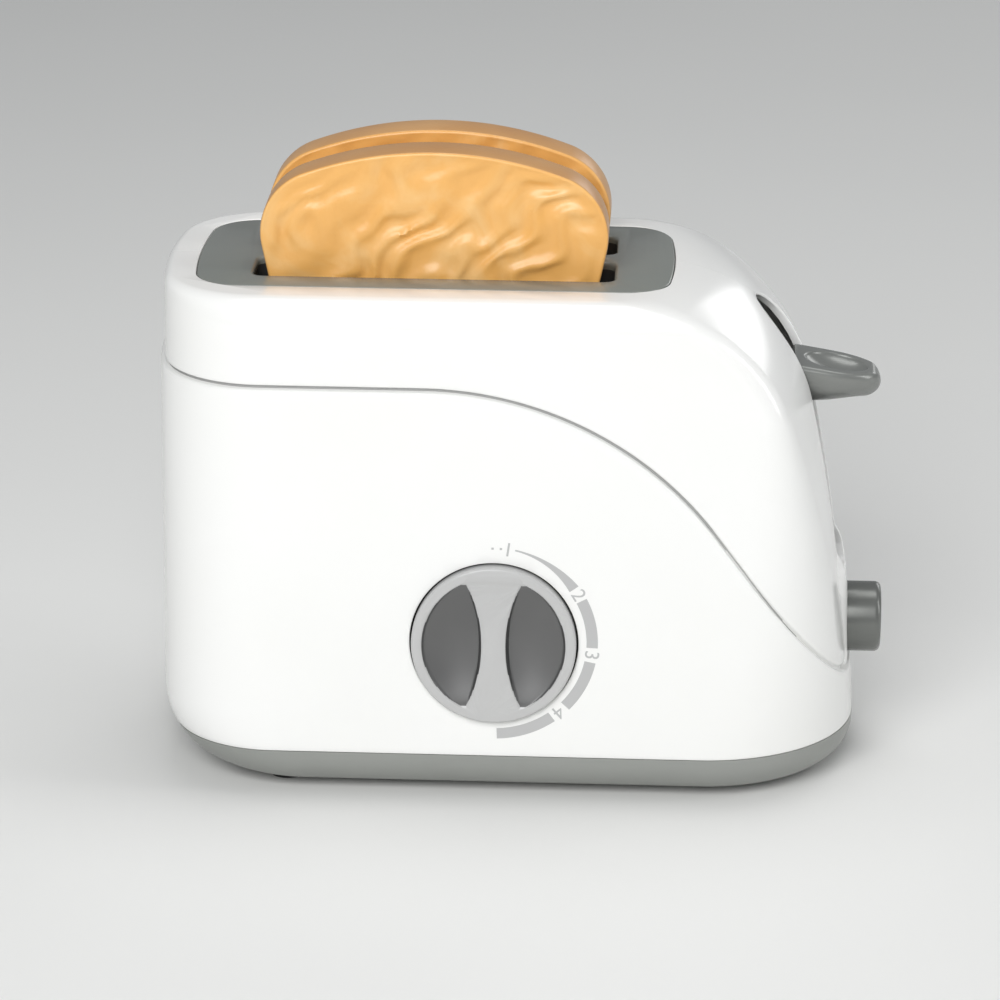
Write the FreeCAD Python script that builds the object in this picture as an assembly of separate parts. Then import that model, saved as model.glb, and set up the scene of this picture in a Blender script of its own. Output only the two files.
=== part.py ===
import FreeCAD, Part
import math
import os

# Toy pop-up toaster, millimetres.
# +X is the lever end, -Y the dial side, +Z up. The origin is on the standing surface, under the middle of the body.

Vec = FreeCAD.Vector

# ---- housing: one curved body, split into two half shells and a base tray ----
top_z = 142.4
seam_z = 13.0
underside_z = 2.0
half_depth = 49.5
wall = 2.2
apron_step = 1.2
left_wall_x = -95.2
left_wall_lean = 0.0138
left_lean_from_z = 20.0
top_edge_radius = 8.0
top_left_radius = 14.0
bottom_left_radius = 24.0
bottom_edge_radius = 10.0
shoulder_x = 38.5
shoulder_radius = 46.0
shoulder_end_angle = 12.8
side_radius = 520.0
end_axis_x = -80.0
left_corner_radius = 17.0
crease_radius_low = 42.0
crease_radius_high = 8.0
crease_end_z = 112.0
side_levels = (36.0, 60.0, 84.0)
shoulder_bands = 6
seam_gap = 0.1
apron_line_z = 117.8
apron_arc_start_x = -23.0
apron_arc_radius = 99.0
apron_arc_angle = 53.0

# ---- top plate and bread slots ----
plate_x = -22.0
plate_half_length = 66.0
plate_half_depth = 33.4
plate_corner = 13.0
plate_end_bow = 230.0
plate_gap = 0.15
plate_thickness = 2.4
flange_width = 3.0
flange_thickness = 1.6
flange_half_length = 44.0
slot_half_length = 49.6
slot_width = 18.6
slot_y = 13.6
slot_corner = 3.0
well_depth = 24.0
well_wall = 1.5

# ---- bread ----
bread_y = 12.4
bread_thickness = 12.6
bread_top_z = 176.6
bread_height = 88.0
bread_crown_radius = 103.0
bread_crown_half_width = 36.0
bread_side_radius = 18.2
bread_lean = 12.0
bread_foot_radius = 8.0
bread_edge = 0.8

# ---- lever, carriage and cradle ----
travel = 46.0
lever_slot_half_width = 12.2
lever_slot_low_z = 51.0
lever_slot_high_z = 131.0
lever_slot_corner = 6.0
lever_z = 110.6
lever_thickness = 8.4
lever_half_width = 10.6
lever_tip_x = 101.9
lever_tip_thickness = 4.6
lever_knob_x = 83.5
lever_neck_half_width = 7.0
lever_neck_thickness = 5.6
lever_corner = 7.5
scoop_x = 90.5
scoop_half_length = 8.5
scoop_half_width = 7.0
scoop_radius = 22.0
scoop_depth = 1.7
carriage_x0 = 50.0
carriage_x1 = 66.0
carriage_half_width = 14.0
carriage_low_z = 84.0
carriage_high_z = 120.0
carriage_wall = 2.4
sleeve_radius = 3.6
rod_x = 58.0
rod_y = 9.5
rod_radius = 1.5
rod_low_z = 8.0
rod_high_z = 130.0
rod_boss_radius = 3.5
rod_boss_high_z = 22.0
running_gap = 0.08
cradle_floor_z = 85.9
cradle_floor = 2.4
cradle_gap = 0.4
cradle_wall = 1.2
cradle_wall_height = 14.0
cradle_half_length = 40.0
cradle_window = 9.0
arm_half_width = 3.0
arm_height = 7.0
spring_radius = 5.0
spring_wire = 1.1
spring_turns = 7
spigot_radius = 3.2
spigot_high_z = 32.0
catch_x = (74.6, 77.5)
catch_down_z = 46.0
catch_thickness = 2.0
catch_rail_y = (3.8, 5.8)

# ---- dial and timer ----
dial_x = -3.4
dial_z = 46.5
dial_radius = 23.0
dial_gap = 0.6
dial_seat_depth = 1.6
dial_face = 4.2
dial_back_gap = 0.25
dial_rim = 2.6
dial_rim_chamfer = 0.8
dial_bar_half_waist = 3.0
dial_bar_curve = 41.5
dial_scoop_depth = 3.6
dial_scoop_radius = 34.0
dial_scoop_offset = 5.2
arbor_radius = 2.5
arbor_y = (-52.6, -24.6)
timer_plate = 1.4
timer_front_y = -44.0
timer_rear_y = -26.6
timer_low_x = -24.0
timer_high_x = 41.0
timer_low_z = 25.0
timer_high_z = 71.5
timer_corner = 4.0
timer_ears = ((-29.0, 62.0), (46.0, 34.0))
ear_radius = 4.5
pillar_radius = 2.2
pillar_inset = 4.5
gear_module = 1.0
main_teeth = 30
pinion_teeth = 10
second_teeth = 27
pressure_angle = 20.0
gear_backlash = 0.2
pinion_shift = 0.35
main_wheel_y = (-41.6, -39.8)
second_wheel_y = (-37.6, -36.2)
fan_y = (-34.2, -30.0)
second_bearing = 20.0
governor_bearing = -50.0
fan_radius = 8.5
fan_blade = 0.8
staff_radius = 1.0
mainspring_radius = 11.0
mainspring_inner_radius = 4.0
mainspring_strip = 0.5
mainspring_turns = 4
mainspring_y = (-35.2, -29.6)

# ---- eject button and latch ----
button_z = 38.0
button_radius = 10.0
button_gap = 0.35
button_end_x = 104.4
button_chamfer = 1.8
button_wall = 2.0
button_back_x = 87.0
button_flange_x = (88.4, 90.0)
button_flange_radius = 11.6
stem_radius = 3.0
stem_end_x = 75.0
guide_x = (80.0, 82.4)
guide_z = (31.0, 45.0)
button_spring_radius = 5.4
button_spring_wire = 0.8
button_spring_turns = 6
latch_pivot_x = 72.5
latch_pivot_z = 22.0
latch_half_width = 3.0
latch_arm_x = (71.6, 74.0)
latch_nose_x = 76.6
latch_nose_height = 3.1
latch_gap = 0.4
latch_boss_radius = 3.0
latch_pin_radius = 1.2
latch_bracket_y = (5.6, 8.2)
latch_bracket_half_length = 3.0
latch_bracket_high_z = 26.0
latch_spring_radius = 1.9
latch_spring_wire = 0.5
latch_spring_turns = 3

# ---- bell ----
bell_x = -58.0
bell_z = 52.0
bell_wall = 1.0
bell_profile = ((1.6, -41.0), (11.0, -39.6), (17.0, -33.5))
bell_post_radius = 3.0
hammer_pivot = (-31.0, 30.0)
hammer_head = (-34.3, 52.0)
hammer_head_radius = 2.6
hammer_head_y = (-38.2, -33.8)
hammer_arm_y = (-37.0, -35.0)
hammer_pin_radius = 1.2
hammer_spring_radius = 2.0
hammer_spring_wire = 0.4
hammer_spring_turns = 5

# ---- base, feet and batteries ----
base_levels = (2.0, 3.4, 7.0)
base_wall = 2.2
foot_radius = 5.0
foot_sink = 1.2
feet_at = ((-62.0, -34.0), (-62.0, 34.0), (70.0, -27.0), (70.0, 27.0))
cell_radius = 7.1
cell_length = 50.5
cell_x = -22.0
cell_y = 8.0
cell_low_z = 5.2
cell_nub_radius = 2.7
cell_nub = 1.2
contact_space = 3.2
contact_plate = 0.5
box_wall = 1.6
box_gap = 0.5
door_gap = 0.3
door_thickness = 1.2
door_half_length = 38.0
door_half_depth = 19.0
door_open_half_length = 29.0
door_open_half_depth = 16.0
door_lip_gap = 0.4
door_screw_x = 12.2
door_boss_high_z = 5.0
door_screw_seat = 0.8
lamp_board_x = (-34.0, -10.0)
lamp_board_half_depth = 4.0
lamp_board_thickness = 1.6
lamp_radius = 2.5
lamp_height = 7.0
switch_x = (36.0, 46.0)
switch_half_depth = 3.0
switch_low_z = 21.5
switch_high_z = 33.0
switch_plunger_z = 38.6

# ---- fasteners ----
screw_radius = 1.3
screw_hole = 1.6
screw_bore = 1.32
screw_head_radius = 2.7
screw_head = 1.8
screw_pocket = 3.1
post_radius = 4.4
shell_screw_y = (14.0, -12.0)
base_screw_z = (7.0, 24.0)
shell_posts = ((-84.0, 30.0), (-82.0, 112.0), (40.0, 124.0), (80.0, 21.5))
base_posts = ((-74.0, -34.0), (-74.0, 34.0), (56.0, -36.0), (56.0, 36.0))
base_post_high_z = 37.0


def block(x, y, z):
    return Part.makeBox(x[1] - x[0], y[1] - y[0], z[1] - z[0], Vec(x[0], y[0], z[0]))


def rod(radius, start, end):
    start, end = Vec(*start), Vec(*end)
    return Part.makeCylinder(radius, (end - start).Length, start, end - start)


def joined(first, *others):
    result = first.fuse(list(others)) if others else first
    return result.removeSplitter()


def arc_through(a, b, c):
    return Part.Arc(Vec(*a), Vec(*b), Vec(*c)).toShape()


def line(a, b):
    return Part.LineSegment(Vec(*a), Vec(*b)).toShape()


def prism(edges, direction):
    return Part.Face(Part.Wire(edges)).extrude(Vec(*direction))


def rounded_block(x, y, z, radius, axis):
    # a block with its four edges along one axis rounded
    solid = block(x, y, z)
    along = {"x": Vec(1, 0, 0), "y": Vec(0, 1, 0), "z": Vec(0, 0, 1)}[axis]
    edges = [e for e in solid.Edges if abs(abs(e.tangentAt(e.FirstParameter).dot(along)) - 1) < 1e-6]
    return solid.makeFillet(radius, edges)


# The body is lofted through level outlines. grow moves its whole skin out, or in where negative.
def drawn_in(rise, radius):
    # how far a rounded edge has drawn in, this far past where its round starts
    rise = min(max(rise, 0.0), radius)
    return radius - math.sqrt(radius ** 2 - rise ** 2)


def between(z, low_z, high_z, low_value, high_value):
    share = min(max((z - low_z) / (high_z - low_z), 0.0), 1.0)
    return low_value + (high_value - low_value) * share


def end_curve_x(z, grow):
    # the profile of the right end: a tight shoulder arc that runs into a long side arc
    shoulder_z = top_z - shoulder_radius
    angle = math.radians(shoulder_end_angle)
    if z > shoulder_z + (shoulder_radius + grow) * math.sin(angle):
        return shoulder_x + math.sqrt(max((shoulder_radius + grow) ** 2 - (z - shoulder_z) ** 2, 0.0))
    centre_x = shoulder_x - (side_radius - shoulder_radius) * math.cos(angle)
    centre_z = shoulder_z - (side_radius - shoulder_radius) * math.sin(angle)
    return centre_x + math.sqrt((side_radius + grow) ** 2 - (z - centre_z) ** 2)


def outline(z, grow):
    over_top = z - top_z - grow
    over_low = underside_z + apron_step - grow - z
    low_edge = drawn_in(over_low + bottom_edge_radius, bottom_edge_radius)
    edge = drawn_in(over_top + top_edge_radius, top_edge_radius) + low_edge
    depth = half_depth + grow - edge
    left = left_wall_x + left_wall_lean * (z - left_lean_from_z) - grow
    left += drawn_in(over_top + top_left_radius, top_left_radius)
    left += drawn_in(over_low + bottom_left_radius, bottom_left_radius)
    right = end_curve_x(z, grow) - low_edge
    left_corner = left_corner_radius + grow - 0.6 * edge
    right_corner = between(z, seam_z, crease_end_z, crease_radius_low, crease_radius_high) + grow - low_edge
    bow = right - end_axis_x
    corner_y = depth - right_corner
    corner_x = end_axis_x + math.sqrt((bow - right_corner) ** 2 - corner_y ** 2)
    turn = math.atan2(corner_y, corner_x - end_axis_x)
    meet = (end_axis_x + bow * math.cos(turn), bow * math.sin(turn))
    half_turn = (turn + math.pi / 2) / 2
    bulge = (corner_x + right_corner * math.cos(half_turn), corner_y + right_corner * math.sin(half_turn))
    slack = left_corner * (1 - math.sqrt(0.5))
    start = left + left_corner
    return Part.Wire([
        line((start, -depth, z), (corner_x, -depth, z)),
        arc_through((corner_x, -depth, z), (bulge[0], -bulge[1], z), (meet[0], -meet[1], z)),
        arc_through((meet[0], -meet[1], z), (right, 0, z), (meet[0], meet[1], z)),
        arc_through((meet[0], meet[1], z), (bulge[0], bulge[1], z), (corner_x, depth, z)),
        line((corner_x, depth, z), (start, depth, z)),
        arc_through((start, depth, z), (left + slack, depth - slack, z), (left, depth - left_corner, z)),
        line((left, depth - left_corner, z), (left, left_corner - depth, z)),
        arc_through((left, left_corner - depth, z), (left + slack, slack - depth, z), (start, -depth, z)),
    ])


def body_form(levels, grow):
    return Part.makeLoft([outline(z, grow) for z in levels], True, True)


def upper_levels(grow):
    # up the side, then round the shoulder in even turns
    first = shoulder_end_angle
    turns = [first + (90 - first) * i / shoulder_bands for i in range(shoulder_bands + 1)]
    reach = shoulder_radius + grow
    round_levels = [top_z - shoulder_radius + reach * math.sin(math.radians(turn)) for turn in turns]
    return [seam_z, *side_levels, *round_levels]


def inside_form():
    # the hollow: the turned end, within the plan outline and a cross-section that draws in towards the top
    grow = -wall
    high, low = top_z + grow, seam_z - 12
    turn = math.radians(shoulder_end_angle)
    half_turn = (turn + math.pi / 2) / 2
    reach = shoulder_radius + grow
    shoulder_z = top_z - shoulder_radius
    meet_z = shoulder_z + reach * math.sin(turn)
    side_z = (meet_z + low) / 2
    shoulder_middle = (shoulder_x + reach * math.cos(half_turn), 0, shoulder_z + reach * math.sin(half_turn))
    meet = (end_curve_x(meet_z, grow), 0, meet_z)
    turned = Part.Face(Part.Wire([
        line((end_axis_x, 0, high), (shoulder_x, 0, high)),
        arc_through((shoulder_x, 0, high), shoulder_middle, meet),
        arc_through(meet, (end_curve_x(side_z, grow), 0, side_z), (end_curve_x(low, grow), 0, low)),
        line((end_curve_x(low, grow), 0, low), (end_axis_x, 0, low)),
        line((end_axis_x, 0, low), (end_axis_x, 0, high)),
    ])).revolve(Vec(end_axis_x, 0, 0), Vec(0, 0, 1), 360)
    plan = outline(seam_z + wall, grow)
    plan.translate(Vec(0, 0, low - seam_z - wall))
    hollow = turned.common(Part.Face(plan).extrude(Vec(0, 0, 200)))
    half = half_depth + grow
    ring = [(half, low), (half, top_z - 34), (half - 1.5, top_z - 12.6), (half - 5, high)]
    ring += [(-y, z) for y, z in reversed(ring)]
    spots = [Vec(-130, y, z) for y, z in ring]
    hollow = hollow.common(Part.Face(Part.makePolygon([*spots, spots[0]])).extrude(Vec(260, 0, 0)))
    left = left_wall_x - grow
    wedge = [Vec(left - 5, -80, high - top_left_radius - 5), Vec(left + top_left_radius + 5, -80, high + 5),
             Vec(left - 5, -80, high + 5)]
    return hollow.cut(Part.Face(Part.makePolygon([*wedge, wedge[0]])).extrude(Vec(0, 160, 0)))


def below_apron_line():
    # everything under the swept line, through the whole depth
    angle = math.radians(apron_arc_angle)
    centre_z = apron_line_z - apron_arc_radius
    mid = (apron_arc_start_x + apron_arc_radius * math.sin(angle / 2),
           centre_z + apron_arc_radius * math.cos(angle / 2))
    end = (apron_arc_start_x + apron_arc_radius * math.sin(angle),
           centre_z + apron_arc_radius * math.cos(angle))
    run_out = 130.0 - end[0]
    low = end[1] - run_out * math.tan(angle)
    y = -80.0
    edges = [
        line((-130, y, apron_line_z), (apron_arc_start_x, y, apron_line_z)),
        arc_through((apron_arc_start_x, y, apron_line_z), (mid[0], y, mid[1]), (end[0], y, end[1])),
        line((end[0], y, end[1]), (130, y, low)),
        line((130, y, low), (130, y, low - 60)),
        line((130, y, low - 60), (-130, y, low - 60)),
        line((-130, y, low - 60), (-130, y, apron_line_z)),
    ]
    return prism(edges, (0, 160, 0))


def plate_outline(grow, z, height):
    # rounded plate with bowed ends
    half_length = plate_half_length + grow
    half = plate_half_depth + grow
    sag = plate_end_bow - math.sqrt(plate_end_bow ** 2 - half ** 2)
    edges = []
    for side in (1, -1):
        tip = plate_x + side * half_length
        corner = tip - side * sag
        edges.append(arc_through((corner, -side * half, z), (tip, 0, z), (corner, side * half, z)))
        far = plate_x - side * (half_length - sag)
        edges.append(line((corner, side * half, z), (far, side * half, z)))
    solid = prism(edges, (0, 0, height))
    upright = [e for e in solid.Edges if abs(e.tangentAt(e.FirstParameter).z) > 0.999]
    return solid.makeFillet(plate_corner + grow, upright)


def lever_slot():
    x = (50.0, 120.0)
    y = (-lever_slot_half_width, lever_slot_half_width)
    return rounded_block(x, y, (lever_slot_low_z, lever_slot_high_z), lever_slot_corner, "x")


def dial_seat_y():
    return -(half_depth + apron_step - dial_seat_depth)


def dial_face_y():
    return -(half_depth + apron_step + dial_face)


def housing():
    apron = body_form([seam_z, *side_levels, 106.0, 120.0], apron_step).common(below_apron_line())
    shell = body_form(upper_levels(0), 0).fuse(apron).cut(inside_form())
    shell = shell.cut(plate_outline(plate_gap, top_z - 12, 30))
    shell = shell.cut(lever_slot())
    seat_y = dial_seat_y()
    shell = shell.cut(rod(dial_radius + dial_gap, (dial_x, seat_y, dial_z), (dial_x, seat_y - 20, dial_z)))
    shell = shell.cut(rod(arbor_radius + 0.4, (dial_x, seat_y - 1, dial_z), (dial_x, -40, dial_z)))
    return shell.cut(rod(button_radius + button_gap, (86, 0, button_z), (120, 0, button_z)))


def shell_ribs(side):
    # what is moulded inside one half: side is -1 in front, 1 behind
    seam = side * seam_gap / 2
    wall_y = side * (half_depth - wall / 2)
    ribs = [rod(post_radius, (x, wall_y, z), (x, seam, z)) for x, z in shell_posts]
    for x, y in base_posts:
        if y * side > 0:
            ribs.append(rod(post_radius, (x, y, seam_z), (x, y, base_post_high_z)))
            ribs.append(block((x - 0.9, x + 0.9), sorted((wall_y, y)), (seam_z, base_post_high_z)))
    ribs.append(rod(rod_boss_radius + 0.5, (rod_x, side * rod_y, 123), (rod_x, side * rod_y, top_z)))
    ribs.append(block(guide_x, sorted((wall_y, seam)), guide_z))
    return ribs


def half_shell(shell, side, extra):
    span = (-90, -seam_gap / 2) if side < 0 else (seam_gap / 2, 90)
    half = shell.common(block((-130, 130), span, (-20, 200)))
    skin = body_form(upper_levels(-wall / 2), -wall / 2)
    ribs = Part.makeCompound(shell_ribs(side) + extra).common(skin)
    half = half.fuse(ribs)
    tools = [rod(rod_radius, (rod_x, side * rod_y, 120), (rod_x, side * rod_y, rod_high_z))]
    tools.append(rod(stem_radius + running_gap, (70, 0, button_z), (90, 0, button_z)))
    for x, y in base_posts:
        if y * side > 0:
            tools.append(rod(screw_bore, (x, y, seam_z - 1), (x, y, base_screw_z[1] + 1)))
    return half, tools


def front_shell(shell):
    wall_y = -(half_depth - wall / 2)
    extra = [rod(3.2, (x, wall_y, z), (x, timer_front_y, z)) for x, z in timer_ears]
    half, tools = half_shell(shell, -1, extra)
    tools += [rod(screw_bore, (x, shell_screw_y[1] - 1, z), (x, 5, z)) for x, z in shell_posts]
    tools += [rod(screw_bore, (x, wall_y, z), (x, timer_front_y + 1, z)) for x, z in timer_ears]
    return half.cut(Part.makeCompound(tools))


def rear_shell(shell):
    half, tools = half_shell(shell, 1, [])
    seat = shell_screw_y[0]
    tools += [rod(screw_hole, (x, -5, z), (x, seat + 1, z)) for x, z in shell_posts]
    tools += [rod(screw_pocket, (x, seat, z), (x, 70, z)) for x, z in shell_posts]
    return half.cut(Part.makeCompound(tools))


def slot_outline(grow, side, z, height):
    x = (plate_x - slot_half_length - grow, plate_x + slot_half_length + grow)
    middle = side * slot_y
    half = slot_width / 2 + grow
    return rounded_block(x, (middle - half, middle + half), (z, z + height), slot_corner + grow, "z")


def top_plate():
    # follows the skin of the body where its left end rounds down
    skin = body_form(upper_levels(0), 0).cut(body_form(upper_levels(-plate_thickness), -plate_thickness))
    plate = plate_outline(0, top_z - 12, 30).common(skin)
    flange_top = top_z - plate_thickness
    half = plate_half_depth + flange_width
    flange = block((plate_x - flange_half_length, plate_x + flange_half_length), (-half, half),
                   (flange_top - flange_thickness, flange_top))
    wells = [slot_outline(well_wall, side, top_z - well_depth, well_depth - 0.5) for side in (-1, 1)]
    plate = plate.fuse([flange, *wells])
    for side in (-1, 1):
        plate = plate.cut(slot_outline(0, side, top_z - well_depth - 1, well_depth + 5))
    return plate.removeSplitter()


def bread(side):
    # a crown arc, a side arc and a leaning flank, each tangent to the next, over rounded feet
    low = bread_top_z - bread_height
    y = side * bread_y - bread_thickness / 2
    crown_turn = math.asin(bread_crown_half_width / bread_crown_radius)
    lean = math.radians(bread_lean)
    crown_z = bread_top_z - bread_crown_radius * (1 - math.cos(crown_turn))
    side_x = bread_crown_half_width - bread_side_radius * math.sin(crown_turn)
    side_z = crown_z - bread_side_radius * math.cos(crown_turn)
    flank_top = (side_x + bread_side_radius * math.cos(lean), side_z - bread_side_radius * math.sin(lean))
    foot_z = low + bread_foot_radius
    flank_run = (flank_top[1] - foot_z) * math.tan(lean)
    foot_x = flank_top[0] - flank_run - bread_foot_radius / math.cos(lean)
    half_turn = (crown_turn + lean + math.pi / 2) / 2
    foot_turn = (math.pi / 2 - lean) / 2
    side_middle = (side_x + bread_side_radius * math.sin(half_turn), side_z + bread_side_radius * math.cos(half_turn))
    foot_middle = (foot_x + bread_foot_radius * math.sin(foot_turn), foot_z - bread_foot_radius * math.cos(foot_turn))
    foot_side = (foot_x + bread_foot_radius * math.cos(lean), foot_z - bread_foot_radius * math.sin(lean))

    def at(spot, sign):
        return (plate_x + sign * spot[0], y, spot[1])

    def flank(sign):
        crown_end = (bread_crown_half_width, crown_z)
        return [
            arc_through(at(crown_end, sign), at(side_middle, sign), at(flank_top, sign)),
            line(at(flank_top, sign), at(foot_side, sign)),
            arc_through(at(foot_side, sign), at(foot_middle, sign), at((foot_x, low), sign)),
        ]

    crown = arc_through(at((bread_crown_half_width, crown_z), 1), at((0, bread_top_z), 1),
                        at((bread_crown_half_width, crown_z), -1))
    base = line(at((foot_x, low), 1), at((foot_x, low), -1))
    wire = Part.Wire(Part.__sortEdges__([*flank(1), crown, *flank(-1), base]))
    slice_form = Part.Face(wire).extrude(Vec(0, bread_thickness, 0))
    rim = [e for e in slice_form.Edges if e.BoundBox.YLength < 1e-6]
    return slice_form.makeChamfer(bread_edge, rim)


def lever_knob():
    # a flat thumb tab on a neck, thinner and rounded at its tip
    half = lever_thickness / 2
    tip = lever_tip_thickness / 2
    y = -lever_half_width
    side_view = prism([
        line((lever_knob_x, y, lever_z - half), (lever_knob_x, y, lever_z + half)),
        line((lever_knob_x, y, lever_z + half), (lever_knob_x + 6, y, lever_z + half)),
        line((lever_knob_x + 6, y, lever_z + half), (lever_tip_x - tip, y, lever_z + tip)),
        arc_through((lever_tip_x - tip, y, lever_z + tip), (lever_tip_x, y, lever_z),
                    (lever_tip_x - tip, y, lever_z - tip)),
        line((lever_tip_x - tip, y, lever_z - tip), (lever_knob_x + 6, y, lever_z - half)),
        line((lever_knob_x + 6, y, lever_z - half), (lever_knob_x, y, lever_z - half)),
    ], (0, 2 * lever_half_width, 0))
    plan = rounded_block((lever_knob_x - 20, lever_tip_x), (-lever_half_width, lever_half_width),
                         (lever_z - 20, lever_z + 20), lever_corner, "z")
    knob = side_view.common(plan)
    neck_half = lever_neck_thickness / 2
    neck = block((carriage_x1, lever_knob_x + 1), (-lever_neck_half_width, lever_neck_half_width),
                 (lever_z - neck_half, lever_z + neck_half))
    knob = joined(knob, neck)
    centre_z = lever_z + half - scoop_depth + scoop_radius
    dish = rod(scoop_radius, (scoop_x, -20, centre_z), (scoop_x, 20, centre_z))
    rim = Part.Ellipse(Vec(scoop_x, 0, lever_z), scoop_half_length, scoop_half_width).toShape()
    return knob.cut(Part.Face(Part.Wire([rim])).extrude(Vec(0, 0, 20)).common(dish))


def carriage():
    # slides on two rods, carries the lever in front and the cradle behind, and hangs a catch loop for the latch
    low, high = carriage_low_z, carriage_high_z
    deck = low + carriage_wall
    catch_z = (catch_down_z + travel, catch_down_z + travel + catch_thickness)
    middle = block((rod_x - 1.2, rod_x + 1.2), (-rod_y, rod_y), (deck - 0.5, high))
    body = block((carriage_x0, carriage_x1), (-carriage_half_width, carriage_half_width), (low, deck))
    pieces = [middle]
    pieces.append(block((carriage_x1 - carriage_wall, carriage_x1), (-lever_half_width, lever_half_width),
                        (deck - 0.5, high - 2)))
    pieces.append(block((carriage_x0, carriage_x0 + carriage_wall), (-6, 6), (deck - 0.5, deck + 14)))
    pieces.append(block((carriage_x0 + 1, rod_x), (-1.2, 1.2), (deck - 0.5, deck + 14)))
    for side in (-1, 1):
        pieces.append(rod(sleeve_radius, (rod_x, side * rod_y, low), (rod_x, side * rod_y, high)))
        pieces.append(block((rod_x, carriage_x1 - 1), sorted((side * 8.4, side * 10.6)), (deck - 0.5, high - 2)))
        pieces.append(block((carriage_x1 - 1, catch_x[1]), sorted((side * catch_rail_y[0], side * catch_rail_y[1])),
                            catch_z))
    pieces.append(block(catch_x, (-catch_rail_y[1], catch_rail_y[1]), catch_z))
    body = joined(body, *pieces)
    bores = [rod(rod_radius + running_gap, (rod_x, side * rod_y, low - 1), (rod_x, side * rod_y, high + 1))
             for side in (-1, 1)]
    return body.cut(Part.makeCompound(bores))


def bread_cradle():
    # two trays for the slices, joined across and held out from the carriage by one arm
    half = bread_thickness / 2 + cradle_gap + cradle_wall
    x = (plate_x - cradle_half_length, plate_x + cradle_half_length)
    z = (cradle_floor_z, cradle_floor_z + cradle_wall_height)
    trays = []
    for side in (-1, 1):
        middle = side * bread_y
        tray = block(x, (middle - half, middle + half), z)
        tray = tray.cut(block((x[0] - 1, x[1] + 1), (middle - half + cradle_wall, middle + half - cradle_wall),
                              (z[0] + cradle_floor, z[1] + 1)))
        for i in range(3):
            left = x[0] + cradle_window + i * 3 * cradle_window
            tray = tray.cut(block((left, left + cradle_window), (middle - half - 1, middle + half + 1),
                                  (z[0] + cradle_floor + 2.5, z[1] - 2.5)))
        trays.append(tray)
    inner = bread_y - half + 0.2
    bridges = [block((left, left + 8), (-inner, inner), (z[0], z[0] + 5)) for left in (x[0] + 18, x[1] - 8)]
    arm = block((x[1] - 8, carriage_x0), (-arm_half_width, arm_half_width), (z[0], z[0] + arm_height))
    return joined(trays[0], trays[1], *bridges, arm)


def guide_rods():
    return Part.makeCompound([rod(rod_radius, (rod_x, side * rod_y, rod_low_z), (rod_x, side * rod_y, rod_high_z))
                              for side in (-1, 1)])


def coil(radius, wire, turns, start, end, steps):
    # a spring of square-section wire, its ends level with start and end
    start, end = Vec(*start), Vec(*end)
    axis = (end - start).normalize()
    across = Vec(0, 1, 0) if abs(axis.z) > 0.5 or abs(axis.x) > 0.5 else Vec(1, 0, 0)
    other = axis.cross(across)
    length = (end - start).Length - wire
    rings = []
    for i in range(turns * steps + 1):
        angle = 2 * math.pi * i / steps
        out = across * math.cos(angle) + other * math.sin(angle)
        middle = start + axis * (wire / 2 + length * i / (turns * steps))
        corners = [(1, 1), (-1, 1), (-1, -1), (1, -1)]
        rings.append([middle + out * (radius + a * wire / 2) + axis * (b * wire / 2) for a, b in corners])
    faces = [Part.Face(Part.makePolygon([*rings[0], rings[0][0]])),
             Part.Face(Part.makePolygon([*rings[-1], rings[-1][0]]))]
    for here, there in zip(rings, rings[1:]):
        for i in range(4):
            a, b, c, d = here[i], here[(i + 1) % 4], there[(i + 1) % 4], there[i]
            faces.append(Part.Face(Part.makePolygon([a, b, c, a])))
            faces.append(Part.Face(Part.makePolygon([a, c, d, a])))
    solid = Part.makeSolid(Part.makeShell(faces))
    if solid.Volume < 0:
        solid.reverse()
    return solid


def lift_spring():
    floor = underside_z + base_wall
    return coil(spring_radius, spring_wire, spring_turns, (rod_x, 0, floor), (rod_x, 0, carriage_low_z), 9)


def dial_knob():
    # a round knob whose face has a waisted grip bar between two scooped recesses
    face, back = dial_face_y(), dial_seat_y() - dial_back_gap
    knob = rod(dial_radius, (dial_x, back, dial_z), (dial_x, face, dial_z))
    rim = [e for e in knob.Edges if abs(e.BoundBox.YMin - face) < 1e-3 and e.BoundBox.YLength < 1e-3]
    knob = knob.makeChamfer(dial_rim_chamfer, rim)
    inner = rod(dial_radius - dial_rim, (dial_x, back, dial_z), (dial_x, face - 1, dial_z))
    for side in (-1, 1):
        bar_x = dial_x + side * (dial_bar_half_waist + dial_bar_curve)
        recess = inner.common(rod(dial_bar_curve, (bar_x, back, dial_z), (bar_x, face - 1, dial_z)))
        scoop_axis_x = dial_x + side * dial_scoop_offset
        axis_y = face - dial_scoop_radius + dial_scoop_depth
        scoop = rod(dial_scoop_radius, (scoop_axis_x, axis_y, dial_z - 30), (scoop_axis_x, axis_y, dial_z + 30))
        knob = knob.cut(recess.common(scoop))
    return knob.cut(rod(arbor_radius, (dial_x, arbor_y[0], dial_z), (dial_x, back + 1, dial_z)))


def dial_arbor():
    return rod(arbor_radius, (dial_x, arbor_y[0], dial_z), (dial_x, arbor_y[1], dial_z))


def second_centre():
    reach = gear_module * (main_teeth + pinion_teeth) / 2
    angle = math.radians(second_bearing)
    return dial_x + reach * math.cos(angle), dial_z + reach * math.sin(angle)


def governor_centre():
    x, z = second_centre()
    reach = gear_module * (second_teeth + pinion_teeth) / 2
    angle = math.radians(governor_bearing)
    return x + reach * math.cos(angle), z + reach * math.sin(angle)


def involute(angle):
    return math.tan(angle) - angle


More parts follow.
